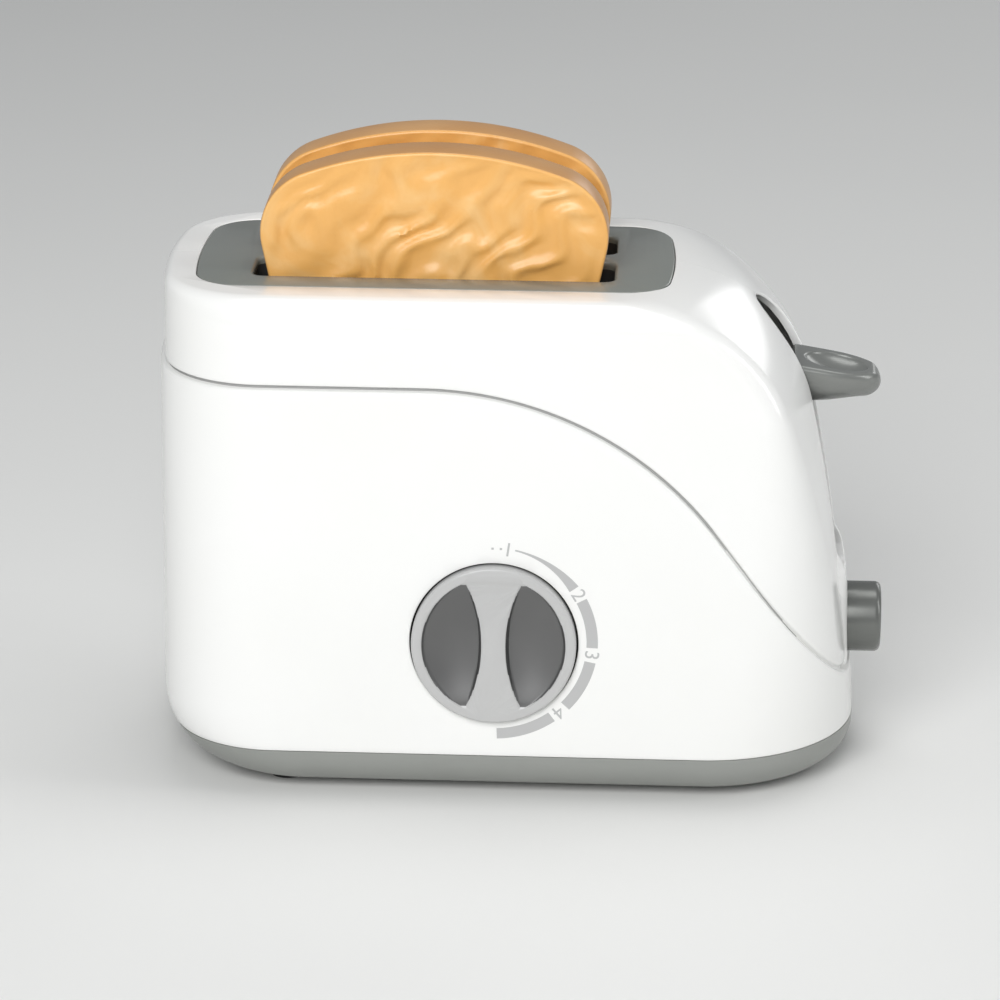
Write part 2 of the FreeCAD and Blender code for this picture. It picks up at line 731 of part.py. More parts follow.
def gear(centre, teeth, shift, span, first):
    # spur wheel with three points to a flank; one tooth is centred on the bearing first, in degrees
    pitch = gear_module * teeth / 2
    pressure = math.radians(pressure_angle)
    base = pitch * math.cos(pressure)
    tip = pitch + gear_module * (0.95 + shift)
    root = pitch - gear_module * (1.2 - shift)
    half = (math.pi / 2 + 2 * shift * math.tan(pressure)) / teeth - gear_backlash / (4 * pitch)
    flank = []
    for reach in (max(base, root) + 0.02, pitch, tip):
        flank.append((reach, half + involute(pressure) - involute(math.acos(base / reach))))
    if root < base:
        flank.insert(0, (root, flank[0][1]))
    points = []
    for i in range(teeth):
        middle = math.radians(first) + 2 * math.pi * i / teeth
        for reach, turn in flank:
            points.append((reach, middle - turn))
        for reach, turn in reversed(flank):
            points.append((reach, middle + turn))
    spots = [Vec(centre[0] + reach * math.cos(turn), span[0], centre[1] + reach * math.sin(turn))
             for reach, turn in points]
    return Part.Face(Part.makePolygon([*spots, spots[0]])).extrude(Vec(0, span[1] - span[0], 0))


def main_wheel():
    wheel = gear((dial_x, dial_z), main_teeth, -pinion_shift, main_wheel_y, second_bearing)
    hub = rod(5.0, (dial_x, main_wheel_y[0], dial_z), (dial_x, main_wheel_y[1] + 1.6, dial_z))
    return wheel.fuse(hub).cut(rod(arbor_radius, (dial_x, -50, dial_z), (dial_x, -30, dial_z)))


def staff(centre):
    x, z = centre
    return rod(staff_radius, (x, timer_front_y - 0.4, z), (x, timer_rear_y + timer_plate + 0.4, z))


def second_wheel():
    centre = second_centre()
    gap_first = second_bearing + 180 + 180 / pinion_teeth
    pinion = gear(centre, pinion_teeth, pinion_shift, (main_wheel_y[0] - 0.4, second_wheel_y[0] + 0.2), gap_first)
    wheel = gear(centre, second_teeth, -pinion_shift, second_wheel_y, governor_bearing)
    return staff(centre).fuse([pinion, wheel]).removeSplitter()


def governor_fan():
    x, z = governor_centre()
    gap_first = governor_bearing + 180 + 180 / pinion_teeth
    pinion = gear((x, z), pinion_teeth, pinion_shift, (second_wheel_y[0] - 0.6, second_wheel_y[1] + 0.6), gap_first)
    hub = rod(2.4, (x, second_wheel_y[1] + 0.4, z), (x, fan_y[1], z))
    blade = block((x - fan_radius, x + fan_radius), fan_y, (z - fan_blade / 2, z + fan_blade / 2))
    return staff((x, z)).fuse([pinion, hub, blade]).removeSplitter()


def timer_plate_form(y):
    plate = rounded_block((timer_low_x, timer_high_x), (y, y + timer_plate), (timer_low_z, timer_high_z),
                          timer_corner, "y")
    holes = [rod(arbor_radius + running_gap, (dial_x, y - 1, dial_z), (dial_x, y + 3, dial_z))]
    for x, z in (second_centre(), governor_centre()):
        holes.append(rod(staff_radius + running_gap, (x, y - 1, z), (x, y + 3, z)))
    return plate, holes


def timer_front_plate():
    plate, holes = timer_plate_form(timer_front_y)
    y = (timer_front_y, timer_front_y + timer_plate)
    for x, z in timer_ears:
        plate = plate.fuse([rod(ear_radius, (x, y[0], z), (x, y[1], z)),
                            block(sorted((x, 0.5 * (timer_low_x + timer_high_x))), y, (z - 3, z + 3))])
        holes.append(rod(screw_hole, (x, y[0] - 1, z), (x, y[1] + 1, z)))
    return plate.removeSplitter().cut(Part.makeCompound(holes))


def timer_rear_plate():
    plate, holes = timer_plate_form(timer_rear_y)
    return plate.cut(Part.makeCompound(holes))


def timer_pillars():
    pillars = []
    for x in (timer_low_x + pillar_inset, timer_high_x - pillar_inset):
        for z in (timer_low_z + pillar_inset, timer_high_z - pillar_inset):
            pillars.append(rod(pillar_radius, (x, timer_front_y + timer_plate, z), (x, timer_rear_y, z)))
    return Part.makeCompound(pillars)


def mainspring():
    # a flat strip wound round the arbor, drawn as one spiral band
    steps = 10
    outer, inner = [], []
    for i in range(mainspring_turns * steps + 1):
        reach = between(i, 0, mainspring_turns * steps, mainspring_inner_radius, mainspring_radius)
        turn = 2 * math.pi * i / steps
        for points, offset in ((outer, mainspring_strip), (inner, 0.0)):
            points.append(Vec(dial_x + (reach + offset) * math.cos(turn), mainspring_y[0],
                              dial_z + (reach + offset) * math.sin(turn)))
    loop = outer + inner[::-1]
    return Part.Face(Part.makePolygon([*loop, loop[0]])).extrude(Vec(0, mainspring_y[1] - mainspring_y[0], 0))


def eject_button():
    # a hollow cap with a retaining flange, on a stem that reaches the latch
    cap = rod(button_radius, (button_back_x, 0, button_z), (button_end_x, 0, button_z))
    end = [e for e in cap.Edges if abs(e.BoundBox.XMin - button_end_x) < 1e-3]
    cap = cap.makeChamfer(button_chamfer, end)
    flange = rod(button_flange_radius, (button_flange_x[0], 0, button_z), (button_flange_x[1], 0, button_z))
    hollow_end = button_end_x - button_wall
    cap = cap.fuse(flange).cut(rod(button_radius - button_wall, (80, 0, button_z), (hollow_end, 0, button_z)))
    return joined(cap, rod(stem_radius, (stem_end_x, 0, button_z), (hollow_end + 0.5, 0, button_z)))


def button_spring():
    return coil(button_spring_radius, button_spring_wire, button_spring_turns,
                (guide_x[1], 0, button_z), (button_end_x - button_wall, 0, button_z), 8)


def latch_hook():
    # an arm that stands on its pivot and hooks over the carriage's catch loop
    x0, x1 = latch_arm_x
    y = -latch_half_width
    nose_z = catch_down_z + catch_thickness + latch_gap
    high = nose_z + latch_nose_height
    arm = prism([
        line((x0, y, latch_pivot_z), (x0, y, high)),
        line((x0, y, high), (x1 - 0.4, y, high)),
        line((x1 - 0.4, y, high), (latch_nose_x, y, nose_z + 0.8)),
        line((latch_nose_x, y, nose_z + 0.8), (latch_nose_x, y, nose_z)),
        line((latch_nose_x, y, nose_z), (x1, y, nose_z)),
        line((x1, y, nose_z), (x1, y, latch_pivot_z)),
        line((x1, y, latch_pivot_z), (x0, y, latch_pivot_z)),
    ], (0, 2 * latch_half_width, 0))
    boss = rod(latch_boss_radius, (latch_pivot_x, -latch_half_width, latch_pivot_z),
               (latch_pivot_x, latch_half_width, latch_pivot_z))
    bore = rod(latch_pin_radius + running_gap, (latch_pivot_x, -9, latch_pivot_z), (latch_pivot_x, 9, latch_pivot_z))
    return joined(arm, boss).cut(bore)


def latch_pin():
    far = latch_bracket_y[1]
    return rod(latch_pin_radius, (latch_pivot_x, -far, latch_pivot_z), (latch_pivot_x, far, latch_pivot_z))


def latch_spring():
    near = latch_half_width + 0.3
    return coil(latch_spring_radius, latch_spring_wire, latch_spring_turns,
                (latch_pivot_x, near, latch_pivot_z), (latch_pivot_x, latch_bracket_y[0], latch_pivot_z), 8)


def bell_gong():
    hole, bend, rim = bell_profile
    points = [hole, bend, rim, (rim[0] - bell_wall, rim[1]), (bend[0] - bell_wall / 2, bend[1] + bell_wall),
              (hole[0], hole[1] + bell_wall)]
    ring = [Vec(bell_x + radius, y, bell_z) for radius, y in points]
    section = Part.Face(Part.makePolygon([*ring, ring[0]]))
    return section.revolve(Vec(bell_x, 0, bell_z), Vec(0, 1, 0), 360)


def bell_post():
    wall_y = -(half_depth - wall)
    top = bell_profile[0][1]
    stud = rod(bell_post_radius, (bell_x, wall_y, bell_z), (bell_x, top, bell_z))
    head = top + bell_wall + 0.3
    neck = rod(bell_profile[0][0], (bell_x, top, bell_z), (bell_x, head, bell_z))
    return joined(stud, neck, rod(2.6, (bell_x, head, bell_z), (bell_x, head + 1.2, bell_z)))


def bell_hammer():
    (px, pz), (hx, hz) = hammer_pivot, hammer_head
    boss = rod(3.0, (px, hammer_arm_y[0] - 0.6, pz), (px, hammer_arm_y[1] + 0.6, pz))
    head = rod(hammer_head_radius, (hx, hammer_head_y[0], hz), (hx, hammer_head_y[1], hz))
    reach = math.hypot(hx - px, hz - pz)
    arm = block((-1.0, 1.0), hammer_arm_y, (0, reach))
    arm.rotate(Vec(0, 0, 0), Vec(0, 1, 0), math.degrees(math.atan2(hx - px, hz - pz)))
    arm.translate(Vec(px, 0, pz))
    bore = rod(hammer_pin_radius + running_gap, (px, -50, pz), (px, -20, pz))
    return joined(boss, head, arm).cut(bore)


def hammer_pin():
    px, pz = hammer_pivot
    shank = rod(hammer_pin_radius, (px, -(half_depth - wall), pz), (px, hammer_arm_y[1] + 1.6, pz))
    head = rod(2.2, (px, hammer_arm_y[1] + 1.2, pz), (px, hammer_arm_y[1] + 2.2, pz))
    return joined(shank, head)


def hammer_spring():
    px, pz = hammer_pivot
    return coil(hammer_spring_radius, hammer_spring_wire, hammer_spring_turns,
                (px, -(half_depth - wall), pz), (px, hammer_arm_y[0] - 0.9, pz), 7)


def screw(seat, tip):
    # pan head on the far side of its seat
    seat, tip = Vec(*seat), Vec(*tip)
    along = (tip - seat).normalize()
    shank = Part.makeCylinder(screw_radius, (tip - seat).Length, seat, along)
    head = Part.makeCylinder(screw_head_radius, screw_head, seat - along * screw_head, along)
    return shank.fuse(head).removeSplitter()


def shell_screws():
    seat, tip = shell_screw_y
    return Part.makeCompound([screw((x, seat, z), (x, tip, z)) for x, z in shell_posts])


def base_screws():
    seat, tip = base_screw_z
    return Part.makeCompound([screw((x, y, seat), (x, y, tip)) for x, y in base_posts])


def timer_screws():
    seat = timer_front_y + timer_plate
    return Part.makeCompound([screw((x, seat, z), (x, timer_front_y - 3.6, z)) for x, z in timer_ears])


def battery_door_screw():
    seat = door_boss_high_z - door_screw_seat
    return screw((door_screw_x, 0, seat), (door_screw_x, 0, seat + 7))


def box_inside():
    half = cell_length / 2 + box_gap + contact_space
    depth = cell_y + cell_radius + box_gap
    return (cell_x - half, cell_x + half), (-depth, depth), (cell_low_z - 0.2, cell_low_z + 2 * cell_radius + box_gap)


def grown(span, by):
    return span[0] - by, span[1] + by


def box_top_z():
    return box_inside()[2][1] + box_wall


def base_tray():
    form = body_form([*base_levels, seam_z - 0.05], apron_step)
    inner = body_form([underside_z + base_wall, seam_z + 1], apron_step - base_wall)
    floor = underside_z + base_wall - 0.5
    x, y, z = box_inside()
    additions = [block(grown(x, box_wall), grown(y, box_wall), (floor, z[1] + box_wall))]
    additions += [rod(post_radius, (px, py, floor), (px, py, seam_z - 0.05)) for px, py in base_posts]
    additions += [rod(rod_boss_radius, (rod_x, side * rod_y, floor), (rod_x, side * rod_y, rod_boss_high_z))
                  for side in (-1, 1)]
    additions.append(rod(spigot_radius, (rod_x, 0, floor), (rod_x, 0, spigot_high_z)))
    additions.append(rod(screw_pocket + 2.4, (door_screw_x, 0, floor), (door_screw_x, 0, door_boss_high_z + 7)))
    additions.append(block(switch_x, (-switch_half_depth, switch_half_depth), (floor, switch_low_z)))
    for side in (-1, 1):
        additions.append(block((latch_pivot_x - latch_bracket_half_length, latch_pivot_x + latch_bracket_half_length),
                               sorted((side * latch_bracket_y[0], side * latch_bracket_y[1])),
                               (floor, latch_bracket_high_z)))
    tray = form.cut(inner).fuse(additions)
    opening = rounded_block((cell_x - door_open_half_length, cell_x + door_open_half_length),
                            (-door_open_half_depth, door_open_half_depth), (0, 8), 3, "z")
    tools = [block(x, y, z), opening, door_form(door_gap, underside_z - 1, door_thickness + 1.1)]
    tools.append(rod(screw_bore, (door_screw_x, 0, 0), (door_screw_x, 0, door_boss_high_z + 6.5)))
    tools.append(rod(screw_pocket + 0.9, (door_screw_x, 0, 0), (door_screw_x, 0, door_boss_high_z + 0.1)))
    tools += [rod(foot_radius + 0.1, (px, py, 0), (px, py, underside_z + foot_sink)) for px, py in feet_at]
    tools += [rod(screw_hole, (px, py, 0), (px, py, 20)) for px, py in base_posts]
    tools += [rod(screw_pocket, (px, py, 0), (px, py, base_screw_z[0])) for px, py in base_posts]
    tools += [rod(rod_radius, (rod_x, side * rod_y, rod_low_z), (rod_x, side * rod_y, 30)) for side in (-1, 1)]
    tools.append(rod(latch_pin_radius, (latch_pivot_x, -10, latch_pivot_z), (latch_pivot_x, 10, latch_pivot_z)))
    return tray.cut(Part.makeCompound(tools))


def door_form(grow, z, height):
    x = (cell_x - door_half_length - grow, cell_x + door_half_length + grow)
    y = (-door_half_depth - grow, door_half_depth + grow)
    return rounded_block(x, y, (z, z + height), 3 + grow, "z")


def battery_door():
    door = door_form(0, underside_z, door_thickness)
    half = door_open_half_length - door_lip_gap
    depth = door_open_half_depth - door_lip_gap
    lip = block((cell_x - half, cell_x + half), (-depth, depth), (underside_z + door_thickness, underside_z + 2.4))
    boss = rod(screw_pocket + 0.6, (door_screw_x, 0, underside_z), (door_screw_x, 0, door_boss_high_z))
    door = joined(door, lip, boss)
    grip = [block((cell_x - 18 + 5 * i, cell_x - 16.4 + 5 * i), (-8, 8), (underside_z - 1, underside_z + 0.6))
            for i in range(5)]
    seat = door_boss_high_z - door_screw_seat
    pocket = rod(screw_pocket, (door_screw_x, 0, 0), (door_screw_x, 0, seat))
    return door.cut(Part.makeCompound([*grip, pocket, rod(screw_hole, (door_screw_x, 0, seat - 1),
                                                          (door_screw_x, 0, door_boss_high_z + 1))]))


def rubber_feet():
    return Part.makeCompound([rod(foot_radius, (x, y, 0), (x, y, underside_z + foot_sink)) for x, y in feet_at])


def batteries():
    cells = []
    for side in (-1, 1):
        z = cell_low_z + cell_radius
        far = cell_x + side * cell_length / 2
        shoulder = far - side * cell_nub
        body = rod(cell_radius, (cell_x - side * cell_length / 2, side * cell_y, z), (shoulder, side * cell_y, z))
        cells.append(joined(body, rod(cell_nub_radius, (shoulder, side * cell_y, z), (far, side * cell_y, z))))
    return Part.makeCompound(cells)


def battery_contacts():
    pieces = []
    x, _, _ = box_inside()
    z = cell_low_z + cell_radius
    for side in (-1, 1):
        y = side * cell_y
        for end, wall_x in ((-1, x[0]), (1, x[1])):
            inward = wall_x - end * contact_plate
            cell_end = cell_x + end * cell_length / 2
            plate = block(sorted((wall_x, inward)), (y - 5, y + 5), (z - 5, z + 5))
            if end == side:
                pieces.append(joined(plate, rod(2.2, (inward, y, z), (cell_end, y, z))))
            else:
                pieces.append(plate)
                pieces.append(coil(3.2, 0.7, 2, (inward, y, z), (cell_end, y, z), 7))
    return Part.makeCompound(pieces)


def lamp_board():
    top = box_top_z()
    return block(lamp_board_x, (-lamp_board_half_depth, lamp_board_half_depth), (top, top + lamp_board_thickness))


def glow_lamp():
    low = box_top_z() + lamp_board_thickness
    x = (lamp_board_x[0] + lamp_board_x[1]) / 2
    high = low + lamp_height - lamp_radius
    stem = rod(lamp_radius, (x, 0, low), (x, 0, high))
    return joined(stem, Part.makeCone(lamp_radius, lamp_radius * 0.4, lamp_radius, Vec(x, 0, high)))


def lamp_switch():
    case = block(switch_x, (-switch_half_depth, switch_half_depth), (switch_low_z, switch_high_z))
    middle = (switch_x[0] + switch_x[1]) / 2
    return joined(case, rod(1.4, (middle, 0, switch_high_z), (middle, 0, switch_plunger_z)))


def build():
    shell = housing()
    return {
        "front_shell": front_shell(shell),
        "rear_shell": rear_shell(shell),
        "top_plate": top_plate(),
        "base_tray": base_tray(),
        "rubber_feet": rubber_feet(),
        "shell_screws": shell_screws(),
        "base_screws": base_screws(),
        "battery_door": battery_door(),
        "battery_door_screw": battery_door_screw(),
        "batteries": batteries(),
        "battery_contacts": battery_contacts(),
        "bread_front": bread(-1),
        "bread_rear": bread(1),
        "lever_knob": lever_knob(),
        "carriage": carriage(),
        "bread_cradle": bread_cradle(),
        "guide_rods": guide_rods(),
        "lift_spring": lift_spring(),
        "dial_knob": dial_knob(),
        "dial_arbor": dial_arbor(),
        "main_wheel": main_wheel(),
        "second_wheel": second_wheel(),
        "governor_fan": governor_fan(),
        "timer_front_plate": timer_front_plate(),
        "timer_rear_plate": timer_rear_plate(),
        "timer_pillars": timer_pillars(),
        "timer_screws": timer_screws(),
        "mainspring": mainspring(),
        "eject_button": eject_button(),
        "button_spring": button_spring(),
        "latch_hook": latch_hook(),
        "latch_pin": latch_pin(),
        "latch_spring": latch_spring(),
        "bell_gong": bell_gong(),
        "bell_post": bell_post(),
        "bell_hammer": bell_hammer(),
        "hammer_pin": hammer_pin(),
        "hammer_spring": hammer_spring(),
        "lamp_board": lamp_board(),
        "glow_lamp": glow_lamp(),
        "lamp_switch": lamp_switch(),
    }


os.makedirs("parts", exist_ok=True)
for name, shape in build().items():
    shape.exportStep("parts/" + name + ".step")
    print(name, len(shape.Solids), round(shape.Volume), shape.isValid())
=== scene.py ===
from math import asin, atan2, copysign, cos, hypot, pi, radians, sin, sqrt, tan

import bmesh
import bpy
from mathutils import Matrix, Vector, noise


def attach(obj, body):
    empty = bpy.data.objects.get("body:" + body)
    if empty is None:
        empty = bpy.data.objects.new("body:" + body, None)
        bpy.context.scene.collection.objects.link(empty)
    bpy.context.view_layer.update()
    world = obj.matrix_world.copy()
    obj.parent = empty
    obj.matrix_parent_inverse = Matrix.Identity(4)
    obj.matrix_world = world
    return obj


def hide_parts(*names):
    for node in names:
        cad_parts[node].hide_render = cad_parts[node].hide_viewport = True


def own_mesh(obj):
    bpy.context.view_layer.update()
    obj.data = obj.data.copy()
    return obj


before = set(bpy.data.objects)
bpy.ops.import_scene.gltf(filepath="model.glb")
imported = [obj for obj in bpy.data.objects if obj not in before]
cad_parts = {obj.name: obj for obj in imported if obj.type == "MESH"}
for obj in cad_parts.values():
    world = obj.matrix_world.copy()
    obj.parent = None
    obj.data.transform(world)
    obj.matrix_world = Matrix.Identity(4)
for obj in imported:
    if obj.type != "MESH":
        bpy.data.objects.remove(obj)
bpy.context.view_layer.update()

mm = 0.001
print("frame loaded:", len(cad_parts), "nodes")


# small tools: lengths go in as millimetres, Blender gets metres

def toLinear(hexColour):
    channels = [int(hexColour[i:i + 2], 16) / 255 for i in (1, 3, 5)]
    return tuple(c / 12.92 if c <= 0.04045 else ((c + 0.055) / 1.055) ** 2.4 for c in channels) + (1.0,)


def addNode(tree, kind, settings=None, links=None):
    node = tree.nodes.new("ShaderNode" + kind)
    for key, value in (settings or {}).items():
        if isinstance(key, int) or key in node.inputs:
            node.inputs[key].default_value = value
        else:
            setattr(node, key, value)
    for key, socket in (links or {}).items():
        tree.links.new(socket, node.inputs[key])
    return node


def newMaterial(name, settings):
    material = bpy.data.materials.new(name)
    material.use_nodes = True
    tree = material.node_tree
    tree.nodes.clear()
    shader = addNode(tree, "BsdfPrincipled", settings)
    addNode(tree, "OutputMaterial", links={"Surface": shader.outputs["BSDF"]})
    place = addNode(tree, "TexCoord").outputs["Object"]
    return material, tree, shader, place  # such a set is called a look below


def perMetre(featureMm):
    return 1.0 / (featureMm * mm)  # texture scale for a feature this many millimetres across


def newObject(name, data):
    made = bpy.data.objects.new(name, data)
    bpy.context.scene.collection.objects.link(made)
    return made


def makePiece(name, points, faces, material, body, sharp=32):
    mesh = bpy.data.meshes.new(name)
    mesh.from_pydata([[c * mm for c in p] for p in points], [], faces)
    form = bmesh.new()
    form.from_mesh(mesh)
    bmesh.ops.recalc_face_normals(form, faces=form.faces)
    form.to_mesh(mesh)
    form.free()
    piece = newObject(name, mesh)
    if material:
        mesh.materials.append(material)
        smoothShade(piece, sharp)
        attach(piece, body)
    return piece


def smoothShade(piece, sharp=32):
    piece.data.shade_smooth()
    piece.data.set_sharp_from_angle(angle=radians(sharp))


def applyTool(piece, tool, operation="DIFFERENCE"):
    change = piece.modifiers.new("cut", "BOOLEAN")
    change.operation = operation
    change.solver = "EXACT"
    change.object = tool
    change.material_mode = "TRANSFER" if tool.data.materials else "INDEX"
    with bpy.context.temp_override(object=piece, active_object=piece, selected_objects=[piece]):
        bpy.ops.object.modifier_apply(modifier=change.name)
    bpy.data.objects.remove(tool)


def ringSkin(rings):
    # faces of a tube through rings of equal length, with a flat face over each end
    count = len(rings[0])
    points = [p for ring in rings for p in ring]
    faces = []
    for r in range(len(rings) - 1):
        for i in range(count):
            j = (i + 1) % count
            faces.append((r * count + i, r * count + j, (r + 1) * count + j, (r + 1) * count + i))
    faces.append(tuple(range(count)))
    faces.append(tuple(range((len(rings) - 1) * count, len(rings) * count)))
    return points, faces


def ringTool(rings):
    # a closed form that only cuts or adds to a piece
    points, faces = ringSkin(rings)
    return makePiece("tool", points, faces, None, None)


def uprightTool(loop, heights):
    return ringTool([[(x, y, z) for x, y in loop] for z in heights])


def blockTool(x, y, heights):
    return uprightTool([(x[0], y[0]), (x[1], y[0]), (x[1], y[1]), (x[0], y[1])], heights)


def turned(profile, centre, axis, segments=96):
    # rings for a turned form: profile is (place along the axis, radius)
    along = Vector(axis).normalized()
    across = along.orthogonal().normalized()
    other = along.cross(across)
    turns = [2 * pi * i / segments for i in range(segments)]
    rings = []
    for reach, radius in profile:
        rings.append([Vector(centre) + along * reach + (across * cos(t) + other * sin(t)) * radius
                      for t in turns])
    return rings


def roundedBox(centre, half, corner, steps):
    # points round a rectangle with rounded corners, each corner in this many steps
    loop = []
    for i, (sx, sy) in enumerate(((1, -1), (1, 1), (-1, 1), (-1, -1))):
        for j in range(steps + 1):
            angle = radians(-90 + 90 * i + 90 * j / steps)
            loop.append((centre[0] + sx * (half[0] - corner) + corner * cos(angle),
                         centre[1] + sy * (half[1] - corner) + corner * sin(angle)))
    return loop


# materials, named for what each part is really made of; the well lining, the dial's felt, the groove grey and
# the recess grey also carry painted shade

whiteAbs = {"colours": ("#f4f4f3", "#efefec"), "roughness": 0.16, "ior": 1.54, "toneMm": 60, "waveMm": 9.0,
            "waveDepthMm": 0.03, "strength": 0.35}
grained = {"ior": 1.54, "toneMm": 25, "strength": 0.4}
drawn = {"pale": (0.9, 0.9, 0.9, 1.0), "paleShare": 0.3, "smoothest": 0.7, "roughest": 1.4}


def mottle(look, featureMm, detail, colours):
    # two close tones drift into each other, so that no wall is one flat colour
    tree, shader, place = look[1:]
    tone = addNode(tree, "TexNoise", {"Scale": perMetre(featureMm), "Detail": detail}, {"Vector": place})
    first, second = (toLinear(colour) for colour in colours)
    mix = addNode(tree, "Mix", {"data_type": "RGBA", 6: first, 7: second}, {"Factor": tone.outputs["Fac"]})
    tree.links.new(mix.outputs[2], shader.inputs["Base Color"])


def roughen(look, featureMm, detail, strength, depthMm):
    # shallow relief that bends the reflections
    tree, shader, place = look[1:]
    relief = addNode(tree, "TexNoise", {"Scale": perMetre(featureMm), "Detail": detail}, {"Vector": place})
    bump = addNode(tree, "Bump", {"Strength": strength, "Distance": depthMm * mm},
                   {"Height": relief.outputs["Fac"]})
    tree.links.new(bump.outputs["Normal"], shader.inputs["Normal"])


def glossWhiteAbs():
    # injection-moulded ABS from a polished mould: sharp reflections that swim very slightly over shrink marks
    w = whiteAbs
    look = newMaterial("glossMouldedWhiteAbs", {"Roughness": w["roughness"], "IOR": w["ior"]})
    mottle(look, w["toneMm"], 2.0, w["colours"])
    roughen(look, w["waveMm"], 1.0, w["strength"], w["waveDepthMm"])
    return look[0]


def grainedSurface(name, colours, roughness, grainMm=0.45, depthMm=0.012, metallic=0.0):
    # a moulded, sprayed or napped surface: its tiny even grain breaks reflections up into a soft sheen;
    # the real grain is finer than a tenth of a millimetre and is drawn as coarse as it needs to show
    g = grained
    look = newMaterial(name, {"Roughness": roughness, "IOR": g["ior"], "Metallic": metallic})
    mottle(look, g["toneMm"], 3.0, colours)
    roughen(look, grainMm, 2.0, g["strength"], depthMm)
    return look[0]


def drawnMetal(name, colour, roughness, lineMm=0.3, stretch=(1.0, 1.0, 0.05)):
    # drawn, rolled or plated metal: fine streaks along the way it was worked pull its highlights out
    material, tree, shader, place = newMaterial(name, {"Metallic": 1.0, "Roughness": roughness})
    along = addNode(tree, "Mapping", {"Scale": stretch}, {"Vector": place})
    streak = addNode(tree, "TexNoise", {"Scale": perMetre(lineMm), "Detail": 2.0},
                     {"Vector": along.outputs["Vector"]})
    share = addNode(tree, "Math", {"operation": "MULTIPLY", 1: drawn["paleShare"]},
                    {0: streak.outputs["Fac"]})
    shade = addNode(tree, "Mix", {"data_type": "RGBA", 6: toLinear(colour), 7: drawn["pale"]},
                    {"Factor": share.outputs["Value"]})
    tree.links.new(shade.outputs[2], shader.inputs["Base Color"])
    spread = addNode(tree, "MapRange", {"To Min": roughness * drawn["smoothest"],
                                        "To Max": roughness * drawn["roughest"]},
                     {"Value": streak.outputs["Fac"]})
    tree.links.new(spread.outputs["Result"], shader.inputs["Roughness"])
    return material


# ABS: polished mould for the shells, spark-eroded moulds with a satin sheen for the plate and the base
whiteShellLook = glossWhiteAbs()
plateLook = grainedSurface("satinGreyAbs", ("#767a75", "#80847f"), 0.24, 0.5, 0.006)
baseLook = grainedSurface("satinPaleGreyAbs", ("#8c8e8a", "#959793"), 0.32)
# the wells' near-black is painted shade deep in the slots
shadeWellLook = grainedSurface("coarsePaintedShadeWell", ("#262727", "#303131"), 0.6, 0.8, 0.02)  # dull and deep
# ABS under lacquer or spray: a little metal in the coat gives tighter, brighter highlights
leverLook = grainedSurface("paleGreyLacqueredAbs", ("#7f817e", "#898b88"), 0.27, 0.35, 0.004, 0.35)
buttonLook = grainedSurface("greyLacqueredAbs", ("#6c6e6b", "#767875"), 0.26, 0.35, 0.004, 0.4)
dialLook = grainedSurface("silverSprayedAbs", ("#b7b7b7", "#c1c1c0"), 0.3, 0.35, 0.006)
# the recesses' darker grey is painted shade in the scoops
recessShadeLook = grainedSurface("paintedShadeGreyRecess", ("#6d6d6d", "#777777"), 0.42, 0.35, 0.005, 0.8)
# inks: flat, with a faint tooth; the grey in the apron's groove is painted shade, the scale is print
grooveShadeLook = grainedSurface("greyPaintedShadeGroove", ("#a3a3a2", "#adadac"), 0.5, 0.4, 0.005)
inkLook = grainedSurface("padPrintedGreyInk", ("#b4b4b4", "#bcbcbc"), 0.45, 0.3, 0.004)
# soft and insulating parts: napped felt and rubber swallow the light, nylon is milky, dipped resin is wet;
# the black felt in the dial's seat is painted shade for the gap round the knob
shadeFeltLook = grainedSurface("blackFeltPaintedShade", ("#161616", "#1f1f1f"), 0.9, 0.5, 0.05)
rubberLook = grainedSurface("blackNitrileRubber", ("#1e1e1e", "#282828"), 0.75, 0.4, 0.03)
cradleLook = grainedSurface("blackMouldedPolypropylene", ("#3a3b3b", "#444545"), 0.5)
gearLook = grainedSurface("naturalNylon", ("#e4e0d2", "#ece8dc"), 0.42, 0.6)
boardLook = grainedSurface("solderMaskedBoard", ("#1d5530", "#266239"), 0.35, 0.8)
lampLook = grainedSurface("dippedAmberLamp", ("#d9522c", "#e0603a"), 0.12, 0.8, 0.002)
cellLook = grainedSurface("shrinkWrappedCell", ("#2f3136", "#3b3d43"), 0.22, 1.2, 0.01)
# metals: plated steel is bright and streaked, the bell plated smooth, stamped brass keeps its rolling lines
steelLook = drawnMetal("zincPlatedSteel", "#a9abad", 0.3)
springLook = drawnMetal("oilTemperedSpringSteel", "#77797c", 0.32, 0.2)
bellLook = drawnMetal("nickelPlatedBellSteel", "#c9c8c4", 0.12, 0.5, (1.0, 1.0, 1.0))
brassLook = drawnMetal("stampedBrassPlate", "#b99b56", 0.34, 0.25, (0.05, 1.0, 1.0))
print("materials made")


# the moulded body: its plan outline is worked out again at every height

body = {
    "top": 142.4, "seam": 13.0, "underside": 2.0, "halfDepth": 49.5, "wall": 2.2, "halfGap": 0.05,
    "leftX": -98.06, "leftLean": 0.0053, "leanFrom": 20.0, "leftBow": 172.7, "leftCorner": 28.8,  # left end
    "topEdge": 8.0, "bottomEdge": 10.0, "topLeft": 2.5, "bottomLeft": 21.5, "cornerFollow": 0.6,  # edges
    "shoulderX": 38.5, "shoulder": 46.0, "shoulderEnd": 12.8, "side": 520.0, "endAxis": -80.0,  # right end
    "creaseLow": 42.0, "creaseHigh": 8.0, "creaseEnd": 112.0,  # its corner shrinks from the seam upwards
    "apronStep": 1.2, "lineZ": 117.8, "lineFrom": -23.0, "lineRadius": 99.0, "lineTurn": 53.0,  # swept line
    "skirtRows": 30, "skirtEase": 1.25, "crownRows": 74, "innerRows": 26,
}
frontY = -(body["halfDepth"] + body["apronStep"])  # the apron's flat front, which carries the dial


def drawnIn(rise, radius):
    rise = min(max(rise, 0.0), radius)
    return radius - sqrt(radius ** 2 - rise ** 2)


